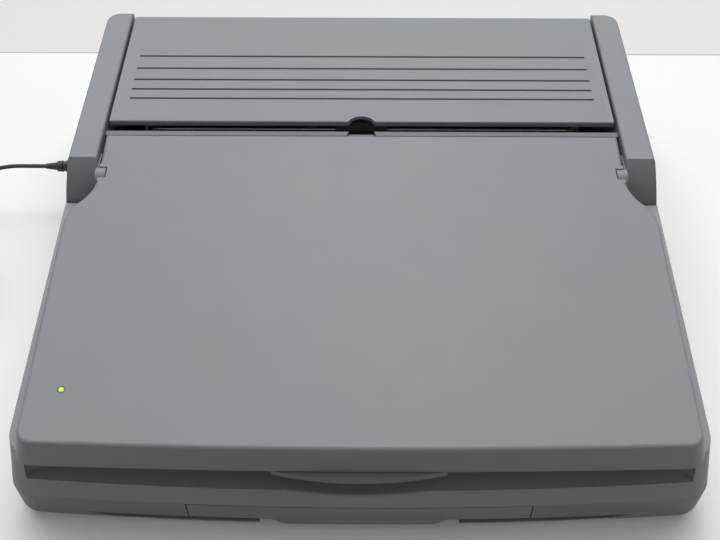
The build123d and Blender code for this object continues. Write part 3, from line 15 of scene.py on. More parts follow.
import bpy
import numpy as np
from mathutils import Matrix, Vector

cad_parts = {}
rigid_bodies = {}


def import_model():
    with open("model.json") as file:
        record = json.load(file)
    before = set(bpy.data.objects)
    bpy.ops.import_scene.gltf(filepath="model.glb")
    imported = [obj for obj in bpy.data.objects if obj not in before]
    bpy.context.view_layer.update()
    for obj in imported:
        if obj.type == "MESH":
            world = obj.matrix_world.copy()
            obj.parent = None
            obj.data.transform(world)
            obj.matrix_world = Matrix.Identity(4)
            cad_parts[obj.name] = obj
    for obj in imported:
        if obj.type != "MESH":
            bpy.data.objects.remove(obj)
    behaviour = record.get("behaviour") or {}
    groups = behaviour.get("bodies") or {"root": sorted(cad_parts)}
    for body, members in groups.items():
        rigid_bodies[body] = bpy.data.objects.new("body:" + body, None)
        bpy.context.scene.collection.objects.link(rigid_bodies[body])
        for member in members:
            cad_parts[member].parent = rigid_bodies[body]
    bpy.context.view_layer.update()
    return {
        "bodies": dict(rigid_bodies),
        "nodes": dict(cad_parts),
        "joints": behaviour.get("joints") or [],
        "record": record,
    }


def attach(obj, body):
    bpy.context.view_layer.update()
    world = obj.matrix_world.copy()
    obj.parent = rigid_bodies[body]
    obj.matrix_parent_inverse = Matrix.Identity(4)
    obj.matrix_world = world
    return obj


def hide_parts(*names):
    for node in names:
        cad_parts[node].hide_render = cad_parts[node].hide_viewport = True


LOG = logging.getLogger("word_processor")
Colour = tuple[float, float, float]
Point = tuple[float, float, float]
Socket = bpy.types.NodeSocket
# an edge turns the softened normal by about 0.3, which this brings near 1
WEAR_GAIN = 3.0


# -------- shader tools
def math_method(operation: str, number_first: bool = False) -> Callable[..., "Signal"]:
    """Method of Signal that adds one Math node.

    Args:
        operation: Blender's name of the operation.
        number_first: whether the other operand stands before the signal.

    Returns:
        The method; it takes a signal, a number or nothing, and gives the node's result.
    """

    def method(self: "Signal", *other: "Signal | float") -> "Signal":
        """Adds the node."""
        operands = (*other, self) if number_first else (self, *other)
        inputs = dict(enumerate(operands))
        node = self.tree.node("ShaderNodeMath", {"operation": operation}, inputs)
        return Signal(self.tree, node.outputs[0])

    return method


class Signal:
    """A number on its way through a node tree: arithmetic on it adds Math nodes."""

    __add__ = math_method("ADD")
    __radd__ = math_method("ADD", number_first=True)
    __sub__ = math_method("SUBTRACT")
    __rsub__ = math_method("SUBTRACT", number_first=True)
    __mul__ = math_method("MULTIPLY")
    __pow__ = math_method("POWER")
    __lt__ = math_method("LESS_THAN")
    __gt__ = math_method("GREATER_THAN")
    fraction = math_method("FRACT")
    size = math_method("ABSOLUTE")
    root = math_method("SQRT")

    def __init__(self, tree: "NodeTree", socket: Socket) -> None:
        """Wraps an output socket of that tree."""
        self.tree = tree
        self.socket = socket

    def stripes(self, rate: float) -> "Signal":
        """Distance from the middle of the nearest of so many stripes per metre, from 0 to 0.5."""
        return ((self * rate).fraction() - 0.5).size()

    def ramp(self, start: float, end: float) -> "Signal":
        """0 up to start, 1 from end on, and smooth between them."""
        node = self.tree.node(
            "ShaderNodeMapRange",
            {"interpolation_type": "SMOOTHSTEP"},
            {"Value": self, "From Min": start, "From Max": end},
        )
        return Signal(self.tree, node.outputs["Result"])


class NodeTree:
    """Adds nodes to the tree of a material or of the world."""

    def __init__(self, owner: bpy.types.Material | bpy.types.World) -> None:
        """Empties the owner's node tree, to build it anew."""
        owner.use_nodes = True
        self.nodes = owner.node_tree.nodes
        self.links = owner.node_tree.links
        self.nodes.clear()

    def node(
        self, kind: str, settings: dict | None = None, inputs: dict | None = None
    ) -> bpy.types.Node:
        """Adds any node.

        Args:
            kind: the node's Blender type.
            settings: its own settings, set before its sockets; "stops" fills its colour ramp.
            inputs: value, Signal or output socket for each input, by name or number.

        Returns:
            The new node.
        """
        made = self.nodes.new(kind)
        for name, value in (settings or {}).items():
            if name == "stops":
                elements = made.color_ramp.elements
                for place, (position, colour) in enumerate(value):
                    stop = elements[place] if place < len(elements) else elements.new(position)
                    stop.position, stop.color = position, (*colour, 1.0)
            else:
                setattr(made, name, value)
        for key, value in (inputs or {}).items():
            if isinstance(value, Signal):
                value = value.socket
            if isinstance(value, Socket):
                self.links.new(value, made.inputs[key])
            else:
                made.inputs[key].default_value = value
        return made

    def place(self) -> Socket:
        """Object coordinates, which are the frame's own, in metres."""
        return self.node("ShaderNodeTexCoord").outputs["Object"]

    def axes(self) -> tuple[Signal, Signal, Signal]:
        """Object coordinates as three numbers."""
        split = self.node("ShaderNodeSeparateXYZ", None, {0: self.place()})
        return tuple(Signal(self, output) for output in split.outputs)

    def stretched(self, scale: Point) -> Socket:
        """Object coordinates, scaled along each axis."""
        inputs = {"Vector": self.place(), "Scale": scale}
        return self.node("ShaderNodeMapping", None, inputs).outputs[0]

    def off_axis(self, middle: Point) -> Signal:
        """Distance from the upright line through a point."""
        across, along, _ = self.axes()
        return ((across - middle[0]) ** 2.0 + (along - middle[1]) ** 2.0).root()

    def noise(self, scale: float, detail: float = 2.0, place: Socket | None = None) -> Signal:
        """Noise from 0 to 1.

        Args:
            scale: features per metre.
            detail: octaves above the first.
            place: coordinates, or the object's own.

        Returns:
            The noise's value.
        """
        inputs = {"Vector": place or self.place(), "Scale": scale, "Detail": detail}
        return Signal(self, self.node("ShaderNodeTexNoise", None, inputs).outputs[0])

    def cells(self, scale: float) -> Signal:
        """Distance from the middle of the nearest of so many cells per metre."""
        inputs = {"Vector": self.place(), "Scale": scale}
        node = self.node("ShaderNodeTexVoronoi", {"feature": "F1"}, inputs)
        return Signal(self, node.outputs["Distance"])

    def blend(self, share: Signal, first: Colour | Socket, second: Colour | Socket) -> Socket:
        """First colour where the share is 0, and the second where it is 1."""
        start, end = ((*c, 1.0) if isinstance(c, tuple) else c for c in (first, second))
        settings = {"data_type": "RGBA", "clamp_factor": True}
        return self.node("ShaderNodeMix", settings, {0: share, 6: start, 7: end}).outputs[2]

    def soft_edges(self, radius: float = 0.0002) -> Socket:
        """Normal that turns over each edge as if the edge had that radius."""
        return self.node("ShaderNodeBevel", {"samples": 4}, {"Radius": radius}).outputs[0]

    def wear(self, softened: Socket, start: float, end: float) -> Signal:
        """Edge wear: 0 on a face, and up to 1 where the softened normal leaves the true one."""
        true = self.node("ShaderNodeNewGeometry").outputs["Normal"]
        inputs = {0: softened, 1: true}
        product = self.node("ShaderNodeVectorMath", {"operation": "DOT_PRODUCT"}, inputs)
        turned = 1 - Signal(self, product.outputs["Value"])
        return (turned * WEAR_GAIN).ramp(start, end)

    def relief(self, height: Signal, depth: float, normal: Socket | None = None) -> Socket:
        """Bumped normal.

        Args:
            height: relief from 0 to 1.
            depth: real height of 1, in metres.
            normal: what it is added to, or the face's own normal.

        Returns:
            The normal for a shader.
        """
        inputs = {"Height": height, "Distance": depth, "Strength": 1.0}
        if normal is not None:
            inputs["Normal"] = normal
        return self.node("ShaderNodeBump", None, inputs).outputs[0]

    def shown_ray(self) -> Signal:
        """1 for what the camera, gloss and glass see, and 0 for light on its way."""
        path = self.node("ShaderNodeLightPath")
        kinds = ("Camera", "Glossy", "Transmission")
        camera, gloss, glass = (Signal(self, path.outputs[f"Is {kind} Ray"]) for kind in kinds)
        return camera + gloss + glass

    def surface(self, **inputs: object) -> None:
        """Ends a material in one Principled shader; underscores in the names stand for spaces."""
        named = {name.replace("_", " "): value for name, value in inputs.items()}
        shader = self.node("ShaderNodeBsdfPrincipled", None, named)
        self.node("ShaderNodeOutputMaterial", None, {"Surface": shader.outputs[0]})


# -------- finishes
def tone(colour: Colour, share: float) -> Colour:
    """The colour made lighter or darker by that share."""
    return tuple(min(1.0, channel * share) for channel in colour)


def tinted(colour: Colour, shares: Colour) -> Colour:
    """The colour with each channel made lighter or darker by its own share."""
    return tuple(channel * share for channel, share in zip(colour, shares))


@dataclass(frozen=True)
class Finish:
    """A finish that makes its own material once."""

    name: str

    def material(self) -> bpy.types.Material:
        """The finish's material, made on first use."""
        made = bpy.data.materials.get(self.name)
        if made is None:
            made = bpy.data.materials.new(self.name)
            self.build(NodeTree(made))
        return made

    def build(self, tree: NodeTree) -> None:
        """Fills the material's nodes."""
        raise NotImplementedError


@dataclass(frozen=True)
class MouldedPlastic(Finish):
    """Moulded plastic: eroded grain, faint clouding, and edges polished by handling."""

    colour: Colour = (0.3, 0.3, 0.3)
    roughness: float = 0.5
    grain: float = 2600.0
    grain_depth: float = 0.000012
    edge_radius: float = 0.0004
    clouding: float = 0.04
    cloud_scale: float = 14.0
    edge_light: float = 1.12
    polish: float = 0.12

    def build(self, tree: NodeTree) -> None:
        """Clouds of two tones, a lighter edge, and cell grain as relief."""
        softened = tree.soft_edges(self.edge_radius)
        edge = tree.wear(softened, 0.15, 0.9)
        clouds = tree.noise(self.cloud_scale, 3.0).ramp(0.3, 0.7)
        dark, light = tone(self.colour, 1 - self.clouding), tone(self.colour, 1 + self.clouding)
        base = tree.blend(clouds, dark, light)
        base = tree.blend(edge * 0.6, base, tone(self.colour, self.edge_light))
        grain = tree.cells(self.grain) * 0.7 + tree.noise(self.grain * 0.6, 1.0) * 0.5
        tree.surface(
            Base_Color=base,
            Roughness=self.roughness + tree.noise(220.0, 2.0) * 0.08 - edge * self.polish,
            Normal=tree.relief(grain, self.grain_depth, softened),
        )


@dataclass(frozen=True)
class SatinPaint(Finish):
    """Satin grey paint with a fine pale fleck."""

    colour: Colour = (0.3, 0.32, 0.34)
    roughness: float = 0.46
    edge_radius: float = 0.0005
    fleck_scale: float = 4200.0
    fleck_light: float = 1.35
    peel_depth: float = 0.000012

    def build(self, tree: NodeTree) -> None:
        """Fleck and slow tone shifts in the colour, orange peel and fine texture as relief."""
        softened = tree.soft_edges(self.edge_radius)
        edge = tree.wear(softened, 0.2, 0.9)
        drift = tree.noise(5.0, 2.0).ramp(0.25, 0.75)
        cool, warm = tone(self.colour, 0.97), tinted(self.colour, (1.05, 1.02, 1.0))
        fleck = tree.cells(self.fleck_scale) * 0.3
        base = tree.blend(fleck, tree.blend(drift, cool, warm), tone(self.colour, self.fleck_light))
        # any painted shade or glow goes on last
        base = self.painted_shading(tree, tree.blend(edge * 0.5, base, tone(self.colour, 1.2)))
        peel = tree.noise(900.0, 2.0) * 0.7 + tree.cells(3000.0) * 0.3
        tree.surface(
            Base_Color=base,
            Roughness=self.roughness + tree.noise(60.0, 3.0) * 0.08 - edge * 0.08,
            Normal=tree.relief(peel, self.peel_depth, softened),
        )

    def painted_shading(self, tree: NodeTree, base: Socket) -> Socket:
        """Painted shade or glow laid over the paint's colour: none here."""
        return base


@dataclass(frozen=True)
class LampShadeAndGlowPaint(SatinPaint):
    """The same paint with painted shade round the lamp's hole, where its chamfer lies in shadow,
    tinted by the lamp's painted glow.
    """

    middle: Point = (0.0, 0.0, 0.0)
    hole: float = 0.0016
    rim: float = 0.0026
    painted_shade_and_glow_colour: Colour = (0.1, 0.115, 0.045)

    def painted_shading(self, tree: NodeTree, base: Socket) -> Socket:
        """The painted shade and glow fade out with the distance from the lamp's axis."""
        beyond = tree.off_axis(self.middle).ramp(self.hole, self.rim)
        # painted shade of the hole's chamfer, tinted with painted glow from the lamp
        return tree.blend(1 - beyond, base, self.painted_shade_and_glow_colour)


@dataclass(frozen=True)
class SoftRubber(Finish):
    """Moulded rubber: dull, slightly greyed where it is rubbed."""

    colour: Colour = (0.03, 0.03, 0.032)
    roughness: float = 0.8
    ribs: float = 0.0
    edge_radius: float = 0.0003
    dusty: float = 2.2
    rubbed: float = 3.0
    pore_depth: float = 0.00002

    def build(self, tree: NodeTree) -> None:
        """Dusty patches in the colour, pores as relief, and ground lines round a roller."""
        softened = tree.soft_edges(self.edge_radius)
        dust = tree.noise(90.0, 4.0).ramp(0.45, 0.75)
        rub = tree.wear(softened, 0.1, 0.8)
        base = tree.blend(dust * 0.5, self.colour, tone(self.colour, self.dusty))
        base = tree.blend(rub * 0.5, base, tone(self.colour, self.rubbed))
        height = tree.noise(3200.0, 3.0)
        if self.ribs:
            height = height * 0.5 + tree.axes()[0].stripes(self.ribs)
        tree.surface(
            Base_Color=base,
            Roughness=self.roughness - dust * 0.1,
            Normal=tree.relief(height, self.pore_depth, softened),
        )


@dataclass(frozen=True)
class SheetSteel(Finish):
    """Zinc-plated sheet steel: rolling lines, faint cloudy plating, bright cut edges."""

    colour: Colour = (0.58, 0.58, 0.57)
    roughness: float = 0.38
    lines: Point = (60.0, 2600.0, 2600.0)
    line_depth: float = 0.000006

    def build(self, tree: NodeTree) -> None:
        """Noise drawn out along the rolling direction, and a two-tone plating."""
        softened = tree.soft_edges()
        rolled = tree.noise(1.0, 3.0, tree.stretched(self.lines))
        plating = tree.noise(45.0, 4.0).ramp(0.35, 0.7)
        edge = tree.wear(softened, 0.1, 0.7)
        base = tree.blend(plating, tone(self.colour, 0.82), tone(self.colour, 1.06))
        tree.surface(
            Base_Color=tree.blend(edge * 0.6, base, tone(self.colour, 1.35)),
            Metallic=1.0,
            Roughness=self.roughness + rolled * 0.16 - edge * 0.1,
            Normal=tree.relief(rolled, self.line_depth, softened),
        )


@dataclass(frozen=True)
class TurnedSteel(Finish):
    """Ground round bar with a thin film of oil."""

    colour: Colour = (0.62, 0.62, 0.6)
    rings: Point = (9000.0, 200.0, 200.0)
    ring_depth: float = 0.000004

    def build(self, tree: NodeTree) -> None:
        """Fine rings round the bar, and oil that darkens it here and there."""
        rings = tree.noise(1.0, 2.0, tree.stretched(self.rings))
        oil = tree.noise(30.0, 3.0).ramp(0.5, 0.8)
        tree.surface(
            Base_Color=tree.blend(oil * 0.6, self.colour, tone(self.colour, 0.6)),
            Metallic=1.0,
            Roughness=0.16 + rings * 0.14 + oil * 0.08,
            Normal=tree.relief(rings, self.ring_depth, tree.soft_edges()),
        )


@dataclass(frozen=True)
class BoardLaminate(Finish):
    """Circuit board: green lacquer over copper tracks, with tinned pads."""

    lacquer: tuple[Colour, Colour] = ((0.02, 0.11, 0.045), (0.03, 0.15, 0.06))
    track: Colour = (0.07, 0.27, 0.11)
    tin: Colour = (0.62, 0.6, 0.55)
    track_rate: float = 400.0
    half_track: float = 0.16
    pad_scale: float = 190.0
    track_depth: float = 0.00003

    def build(self, tree: NodeTree) -> None:
        """Tracks are thin bands of two crossing line patterns, chosen patch by patch."""
        across, along, _ = tree.axes()
        patches = tree.noise(60.0, 0.0).ramp(0.48, 0.52)
        lines_x = across.stripes(self.track_rate) < self.half_track
        lines_y = along.stripes(self.track_rate) < self.half_track
        tracks = lines_x * patches + lines_y * (1 - patches)
        pads = tree.cells(self.pad_scale) < 0.16
        green = tree.blend(tree.noise(25.0, 2.0), *self.lacquer)
        base = tree.blend(pads, tree.blend(tracks * 0.6, green, self.track), self.tin)
        tree.surface(
            Base_Color=base,
            Metallic=pads * 0.9,
            Roughness=0.3 + tree.noise(300.0, 2.0) * 0.15,
            Normal=tree.relief(tracks + pads, self.track_depth, tree.soft_edges()),
        )


@dataclass(frozen=True)
class ScreenGlass(Finish):
    """Liquid crystal panel at rest: grey-green, with its matt polariser and dot rows."""

    dots: float = 2200.0
    half_dot: float = 0.42
    tints: tuple[Colour, Colour] = ((0.2, 0.235, 0.185), (0.235, 0.27, 0.215))
    gap: Colour = (0.31, 0.345, 0.28)
    etch_depth: float = 0.000004

    def build(self, tree: NodeTree) -> None:
        """A grid of dots a shade darker than the gaps, under etched relief."""
        across, along, _ = tree.axes()
        gap_x, gap_y = (axis.stripes(self.dots) > self.half_dot for axis in (across, along))
        tint = tree.blend(tree.noise(8.0, 2.0), *self.tints)
        tree.surface(
            Base_Color=tree.blend((gap_x + gap_y) * 0.35, tint, self.gap),
            Roughness=0.28 + tree.noise(400.0, 2.0) * 0.06,
            Coat_Weight=0.4,
            Coat_Roughness=0.25,
            Normal=tree.relief(tree.noise(5200.0, 1.0), self.etch_depth),
        )


@dataclass(frozen=True)
class GlowingLens(Finish):
    """Diffused lamp lens that glows yellow-green from its middle."""

    middle: Point = (0.0, 0.0, 0.0)
    radius: float = 0.0016
    body: Colour = (0.35, 0.5, 0.08)
    glow: tuple[tuple[float, Colour], ...] = (
        (0.0, (0.82, 1.0, 0.30)),
        (0.4, (0.6, 0.9, 0.10)),
        (0.95, (0.16, 0.26, 0.03)),
    )
    strength: float = 0.85

    def build(self, tree: NodeTree) -> None:
        """The glow fades with the distance from the lens's axis, and frost mottles it."""
        out = tree.off_axis(self.middle) * (1 / self.radius)
        frost = tree.noise(3500.0, 2.0) * 0.12
        glow = tree.node("ShaderNodeValToRGB", {"stops": self.glow}, {0: out + frost})
        tree.surface(
            Base_Color=(*self.body, 1.0),
            Emission_Color=glow.outputs[0],
            Emission_Strength=self.strength,
            Roughness=0.25 + frost,
        )


@dataclass(frozen=True)
class Nylon(Finish):
    """Natural nylon: milky, slightly translucent, with flow marks and a trace of grease."""

    colour: Colour = (0.8, 0.78, 0.7)
    ageing: Colour = (1.0, 0.96, 0.86)
    grease_colour: Colour = (0.42, 0.4, 0.36)
    flow_depth: float = 0.00001

    def build(self, tree: NodeTree) -> None:
        """Slow yellowing, grey grease and fine flow lines."""
        softened = tree.soft_edges()
        grease = tree.noise(260.0, 3.0).ramp(0.55, 0.8)
        aged = tree.blend(tree.noise(40.0, 2.0), self.colour, tinted(self.colour, self.ageing))
        tree.surface(
            Base_Color=tree.blend(grease * 0.5, aged, self.grease_colour),
            Roughness=0.42 - grease * 0.15,
            Subsurface_Weight=0.15,
            Subsurface_Radius=(0.001, 0.001, 0.0008),
            Normal=tree.relief(tree.noise(1800.0, 2.0), self.flow_depth, softened),
        )


@dataclass(frozen=True)
class KeycapPlastic(Finish):
    """Keycap plastic with etched grain, worn smoother in the middle of each top."""

    colour: Colour = (0.46, 0.46, 0.43)
    grain_depth: float = 0.00002

    def build(self, tree: NodeTree) -> None:
        """Grain as relief, fine speckle in the colour, and patches rubbed to a sheen."""
        speckle = tree.cells(1500.0)
        rubbed = tree.noise(55.0, 2.0).ramp(0.5, 0.7)
        base = tree.blend(speckle * 0.3, tone(self.colour, 0.93), tone(self.colour, 1.08))
        grain = tree.cells(2300.0) * 0.6 + tree.noise(1700.0, 2.0) * 0.4
        tree.surface(
            Base_Color=base,
            Roughness=0.55 - rubbed * 0.14,
            Normal=tree.relief(grain, self.grain_depth),
        )


@dataclass(frozen=True)
class CordSheath(Finish):
    """Extruded black PVC with draw lines along it and a dull bloom."""

    colour: Colour = (0.018, 0.018, 0.02)
    draw: Point = (300.0, 24.0, 1.0)
    draw_depth: float = 0.00002

    def build(self, tree: NodeTree) -> None:
        """Lines follow the sheath's own UV map, so they run along every bend."""
        chart = tree.node("ShaderNodeTexCoord").outputs["UV"]
        drawn = tree.node("ShaderNodeMapping", None, {"Vector": chart, "Scale": self.draw})
        lines = tree.noise(1.0, 2.0, drawn.outputs[0])
        bloom = tree.noise(120.0, 3.0).ramp(0.4, 0.8)
        tree.surface(
            Base_Color=tree.blend(bloom * 0.6, self.colour, tone(self.colour, 2.4)),
            Roughness=0.36 + lines * 0.12 + bloom * 0.12,
            Normal=tree.relief(lines, self.draw_depth),
        )


@dataclass(frozen=True)
class TableTop(Finish):
    """Pale table, with a slightly darker surface beyond its rear edge and a thin line of painted
    shade along that edge.
    """

    edge_y: float = 0.2436
    half_shade_line: float = 0.0007
    shade_line_colour: Colour = (0.3, 0.3, 0.27)
    near: float = 0.97
    far: float = 0.79
    far_tint: Colour = (1.0, 0.985, 0.965)
    cloud: Colour = (0.7, 0.7, 0.7)
    bounce: float = 0.2
    lift: float = 0.05

    def build(self, tree: NodeTree) -> None:
        """Pale for what the camera, gloss and glass see, darker for the light it bounces."""
        along = tree.axes()[1]
        far = tinted((self.far,) * 3, self.far_tint)
        shade = tree.blend(along > self.edge_y, (self.near,) * 3, far)
        # painted contact shade: a thin dark line along the rear edge
        shade_line = (along - self.edge_y).size() < self.half_shade_line
        shade = tree.blend(shade_line * 0.65, shade, self.shade_line_colour)
        shade = tree.blend(tree.noise(6.0, 3.0) * 0.02, shade, self.cloud)
        shown = tree.shown_ray()
        tree.surface(
            Base_Color=tree.blend(shown, (self.bounce,) * 3, shade),
            Roughness=0.9,
            Specular_IOR_Level=0.1,
            Emission_Color=(1.0, 1.0, 0.98, 1.0),
            Emission_Strength=shown * self.lift,
        )


class Look(Enum):
    """Every finish of the object, by the part of it that wears it."""

    SHELL = SatinPaint("shell_satin_paint", (0.206, 0.22, 0.238))
    CASE = MouldedPlastic("case_grained_plastic", (0.285, 0.285, 0.302))
    TRAY = MouldedPlastic("tray_grained_plastic", (0.26, 0.26, 0.274), roughness=0.55)
    TROUGH = MouldedPlastic("trough_grained_plastic", (0.15, 0.15, 0.162))
    DARK = MouldedPlastic("dark_grained_plastic", (0.105, 0.105, 0.112), roughness=0.52)
    BEZEL = MouldedPlastic("bezel_grained_plastic", (0.2, 0.2, 0.208), roughness=0.6, grain=1900.0)
    BLACK = MouldedPlastic(
        "black_moulded_plastic", (0.03, 0.03, 0.033), roughness=0.42, edge_light=1.8
    )
    PLUG = MouldedPlastic(
        "plug_moulded_plastic", (0.02, 0.02, 0.022), roughness=0.38, grain=4200.0, edge_light=2.2
    )
    PRINTER_GREY = MouldedPlastic("printer_grey_plastic", (0.19, 0.19, 0.2), roughness=0.48)
    RIBBON_CASE = MouldedPlastic("ribbon_case_plastic", (0.06, 0.062, 0.068), roughness=0.4)
    RUBBER = SoftRubber("black_rubber_moulded")
    PLATEN = SoftRubber("platen_ground_rubber", (0.028, 0.028, 0.03), roughness=0.7, ribs=900.0)
    SHEET = SheetSteel("zinc_plated_sheet")
    CHASSIS = SheetSteel("chassis_plated_sheet", (0.5, 0.5, 0.49), roughness=0.42)
    SCREW = SheetSteel("blackened_screw_steel", (0.2, 0.2, 0.2), roughness=0.36, lines=(900.0,) * 3)
    BAR = TurnedSteel("ground_steel_bar")
    BOARD = BoardLaminate("green_board_laminate")
    SCREEN = ScreenGlass("screen_matt_panel")
    NYLON = Nylon("natural_nylon")
    KEY = KeycapPlastic("keycap_plastic")
    CORD = CordSheath("cord_black_pvc")
    NICKEL = SheetSteel(
        "nickel_plated_blades", (0.66, 0.65, 0.61), roughness=0.2, lines=(400.0, 400.0, 3000.0)
    )

    def material(self) -> bpy.types.Material:
        """The finish's material."""
        return self.value.material()


# -------- mesh tools
def added(name: str, data: bpy.types.ID) -> bpy.types.Object:
    """New object of the scene that shows that data."""
    made = bpy.data.objects.new(name, data)
    bpy.context.scene.collection.objects.link(made)
    return made


def ring_quads(rings: int, columns: int) -> np.ndarray:
    """Corner numbers of the quads between closed rings.

    Each corner is joined to the next one of its ring, the last to the first, and
    to the next ring.

    Args:
        rings: number of rings.
        columns: points of each ring.

    Returns:
        One row of four corner numbers per quad.
    """
    first = np.arange(rings - 1)[:, None] * columns
    column = np.arange(columns)[None, :]
    after = (column + 1) % columns
    here, ahead = first + column, first + after
    return np.stack([here, ahead, ahead + columns, here + columns], axis=-1).reshape(-1, 4)


def solid_of_rings(name: str, rings: np.ndarray, finish: Look) -> bpy.types.Object:
    """Mesh object from stacks of closed rings.

    Every stack is a tube through its rings, and a fan to the middle point of its
    first and last ring closes each end.

    Args:
        name: name of the object.
        rings: stacks x rings x points x 3, counter-clockwise seen from the last ring's side.
        finish: what it is made of.

    Returns:
        The new object.
    """
    stacks, count, columns, _ = rings.shape
    ends = rings[:, (0, -1)].mean(axis=2)
    points = np.concatenate([rings.reshape(stacks, -1, 3), ends], axis=1)
    size = points.shape[1]
    around = np.arange(columns)
    after = (around + 1) % columns
    last = (count - 1) * columns
    foot = np.stack([after, around, np.full(columns, size - 2)], axis=-1)
    head = np.stack([last + around, last + after, np.full(columns, size - 1)], axis=-1)
    offset = (np.arange(stacks) * size)[:, None, None]
    sides = (ring_quads(count, columns) + offset).reshape(-1, 4)
    fans = (np.concatenate([foot, head]) + offset).reshape(-1, 3)
    mesh = bpy.data.meshes.new(name)
    mesh.from_pydata(points.reshape(-1, 3).tolist(), [], [*sides.tolist(), *fans.tolist()])
    mesh.polygons.foreach_set("use_smooth", np.full(len(mesh.polygons), True))
    mesh.materials.append(finish.material())
    return added(name, mesh)


def rounded_rectangle(
    half_x: np.ndarray, half_y: np.ndarray, corner: np.ndarray, steps: int = 4
) -> np.ndarray:
    """Points round rectangles with rounded corners.

    A point is its corner's centre, half minus radius along each side, plus the
    radius times the cosine and sine of its angle; each corner runs a quarter turn.

    Args:
        half_x: half widths.
        half_y: half depths.
        corner: corner radii.
        steps: points of each corner, less one.

    Returns:
        An array of their common shape, with the points and x and y as last axes.
    """
    turns = np.linspace(0, pi / 2, steps + 1)
    angle = (np.arange(4)[:, None] * pi / 2 + turns).ravel()
    side_x = np.repeat((1, -1, -1, 1), steps + 1)
    side_y = np.repeat((1, 1, -1, -1), steps + 1)
    half_x, half_y, corner = (np.asarray(a, float)[..., None] for a in (half_x, half_y, corner))
    x = side_x * (half_x - corner) + corner * np.cos(angle)
    y = side_y * (half_y - corner) + corner * np.sin(angle)
    return np.stack(np.broadcast_arrays(x, y), axis=-1)


@dataclass
class SlopeFrame:
    """The lid's own axes: u across, v up the slope and w out, from the hinge axis."""

    axis_y: float = 0.0165
    axis_z: float = 0.0822
    slope: float = 5.26

    def points(self, u: np.ndarray, v: np.ndarray, w: np.ndarray) -> np.ndarray:
        """Frame coordinates: the axis, plus v along the slope and w square to it."""
        up, out = sin(radians(self.slope)), cos(radians(self.slope))
        u, v, w = np.broadcast_arrays(u, v, w)
        y, z = self.axis_y + v * out - w * up, self.axis_z + v * up + w * out
        return np.stack([u, y, z], axis=-1)


# -------- sub-assemblies
@dataclass
class Assembly:
    """A group of pieces that are dressed together."""

    frame: dict

    def dress(self, finish: Look | Finish, *nodes: str) -> None:
        """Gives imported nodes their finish, and reports each."""
        for name in nodes:
            materials = self.frame["nodes"][name].data.materials
            materials.clear()
            materials.append(finish.material())
            LOG.info("%s wears %s", name, finish.name.lower())

    def settle(self, piece: bpy.types.Object, body: str, slot: str, *nodes: str) -> None:
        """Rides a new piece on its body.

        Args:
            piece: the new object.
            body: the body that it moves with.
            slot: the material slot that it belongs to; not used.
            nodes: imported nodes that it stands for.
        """
        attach(piece, body)
        if nodes:
            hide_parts(*nodes)
        LOG.info("%s rides on %s", piece.name, body)

    def build(self) -> None:
        """Makes and dresses the group's pieces."""
        raise NotImplementedError


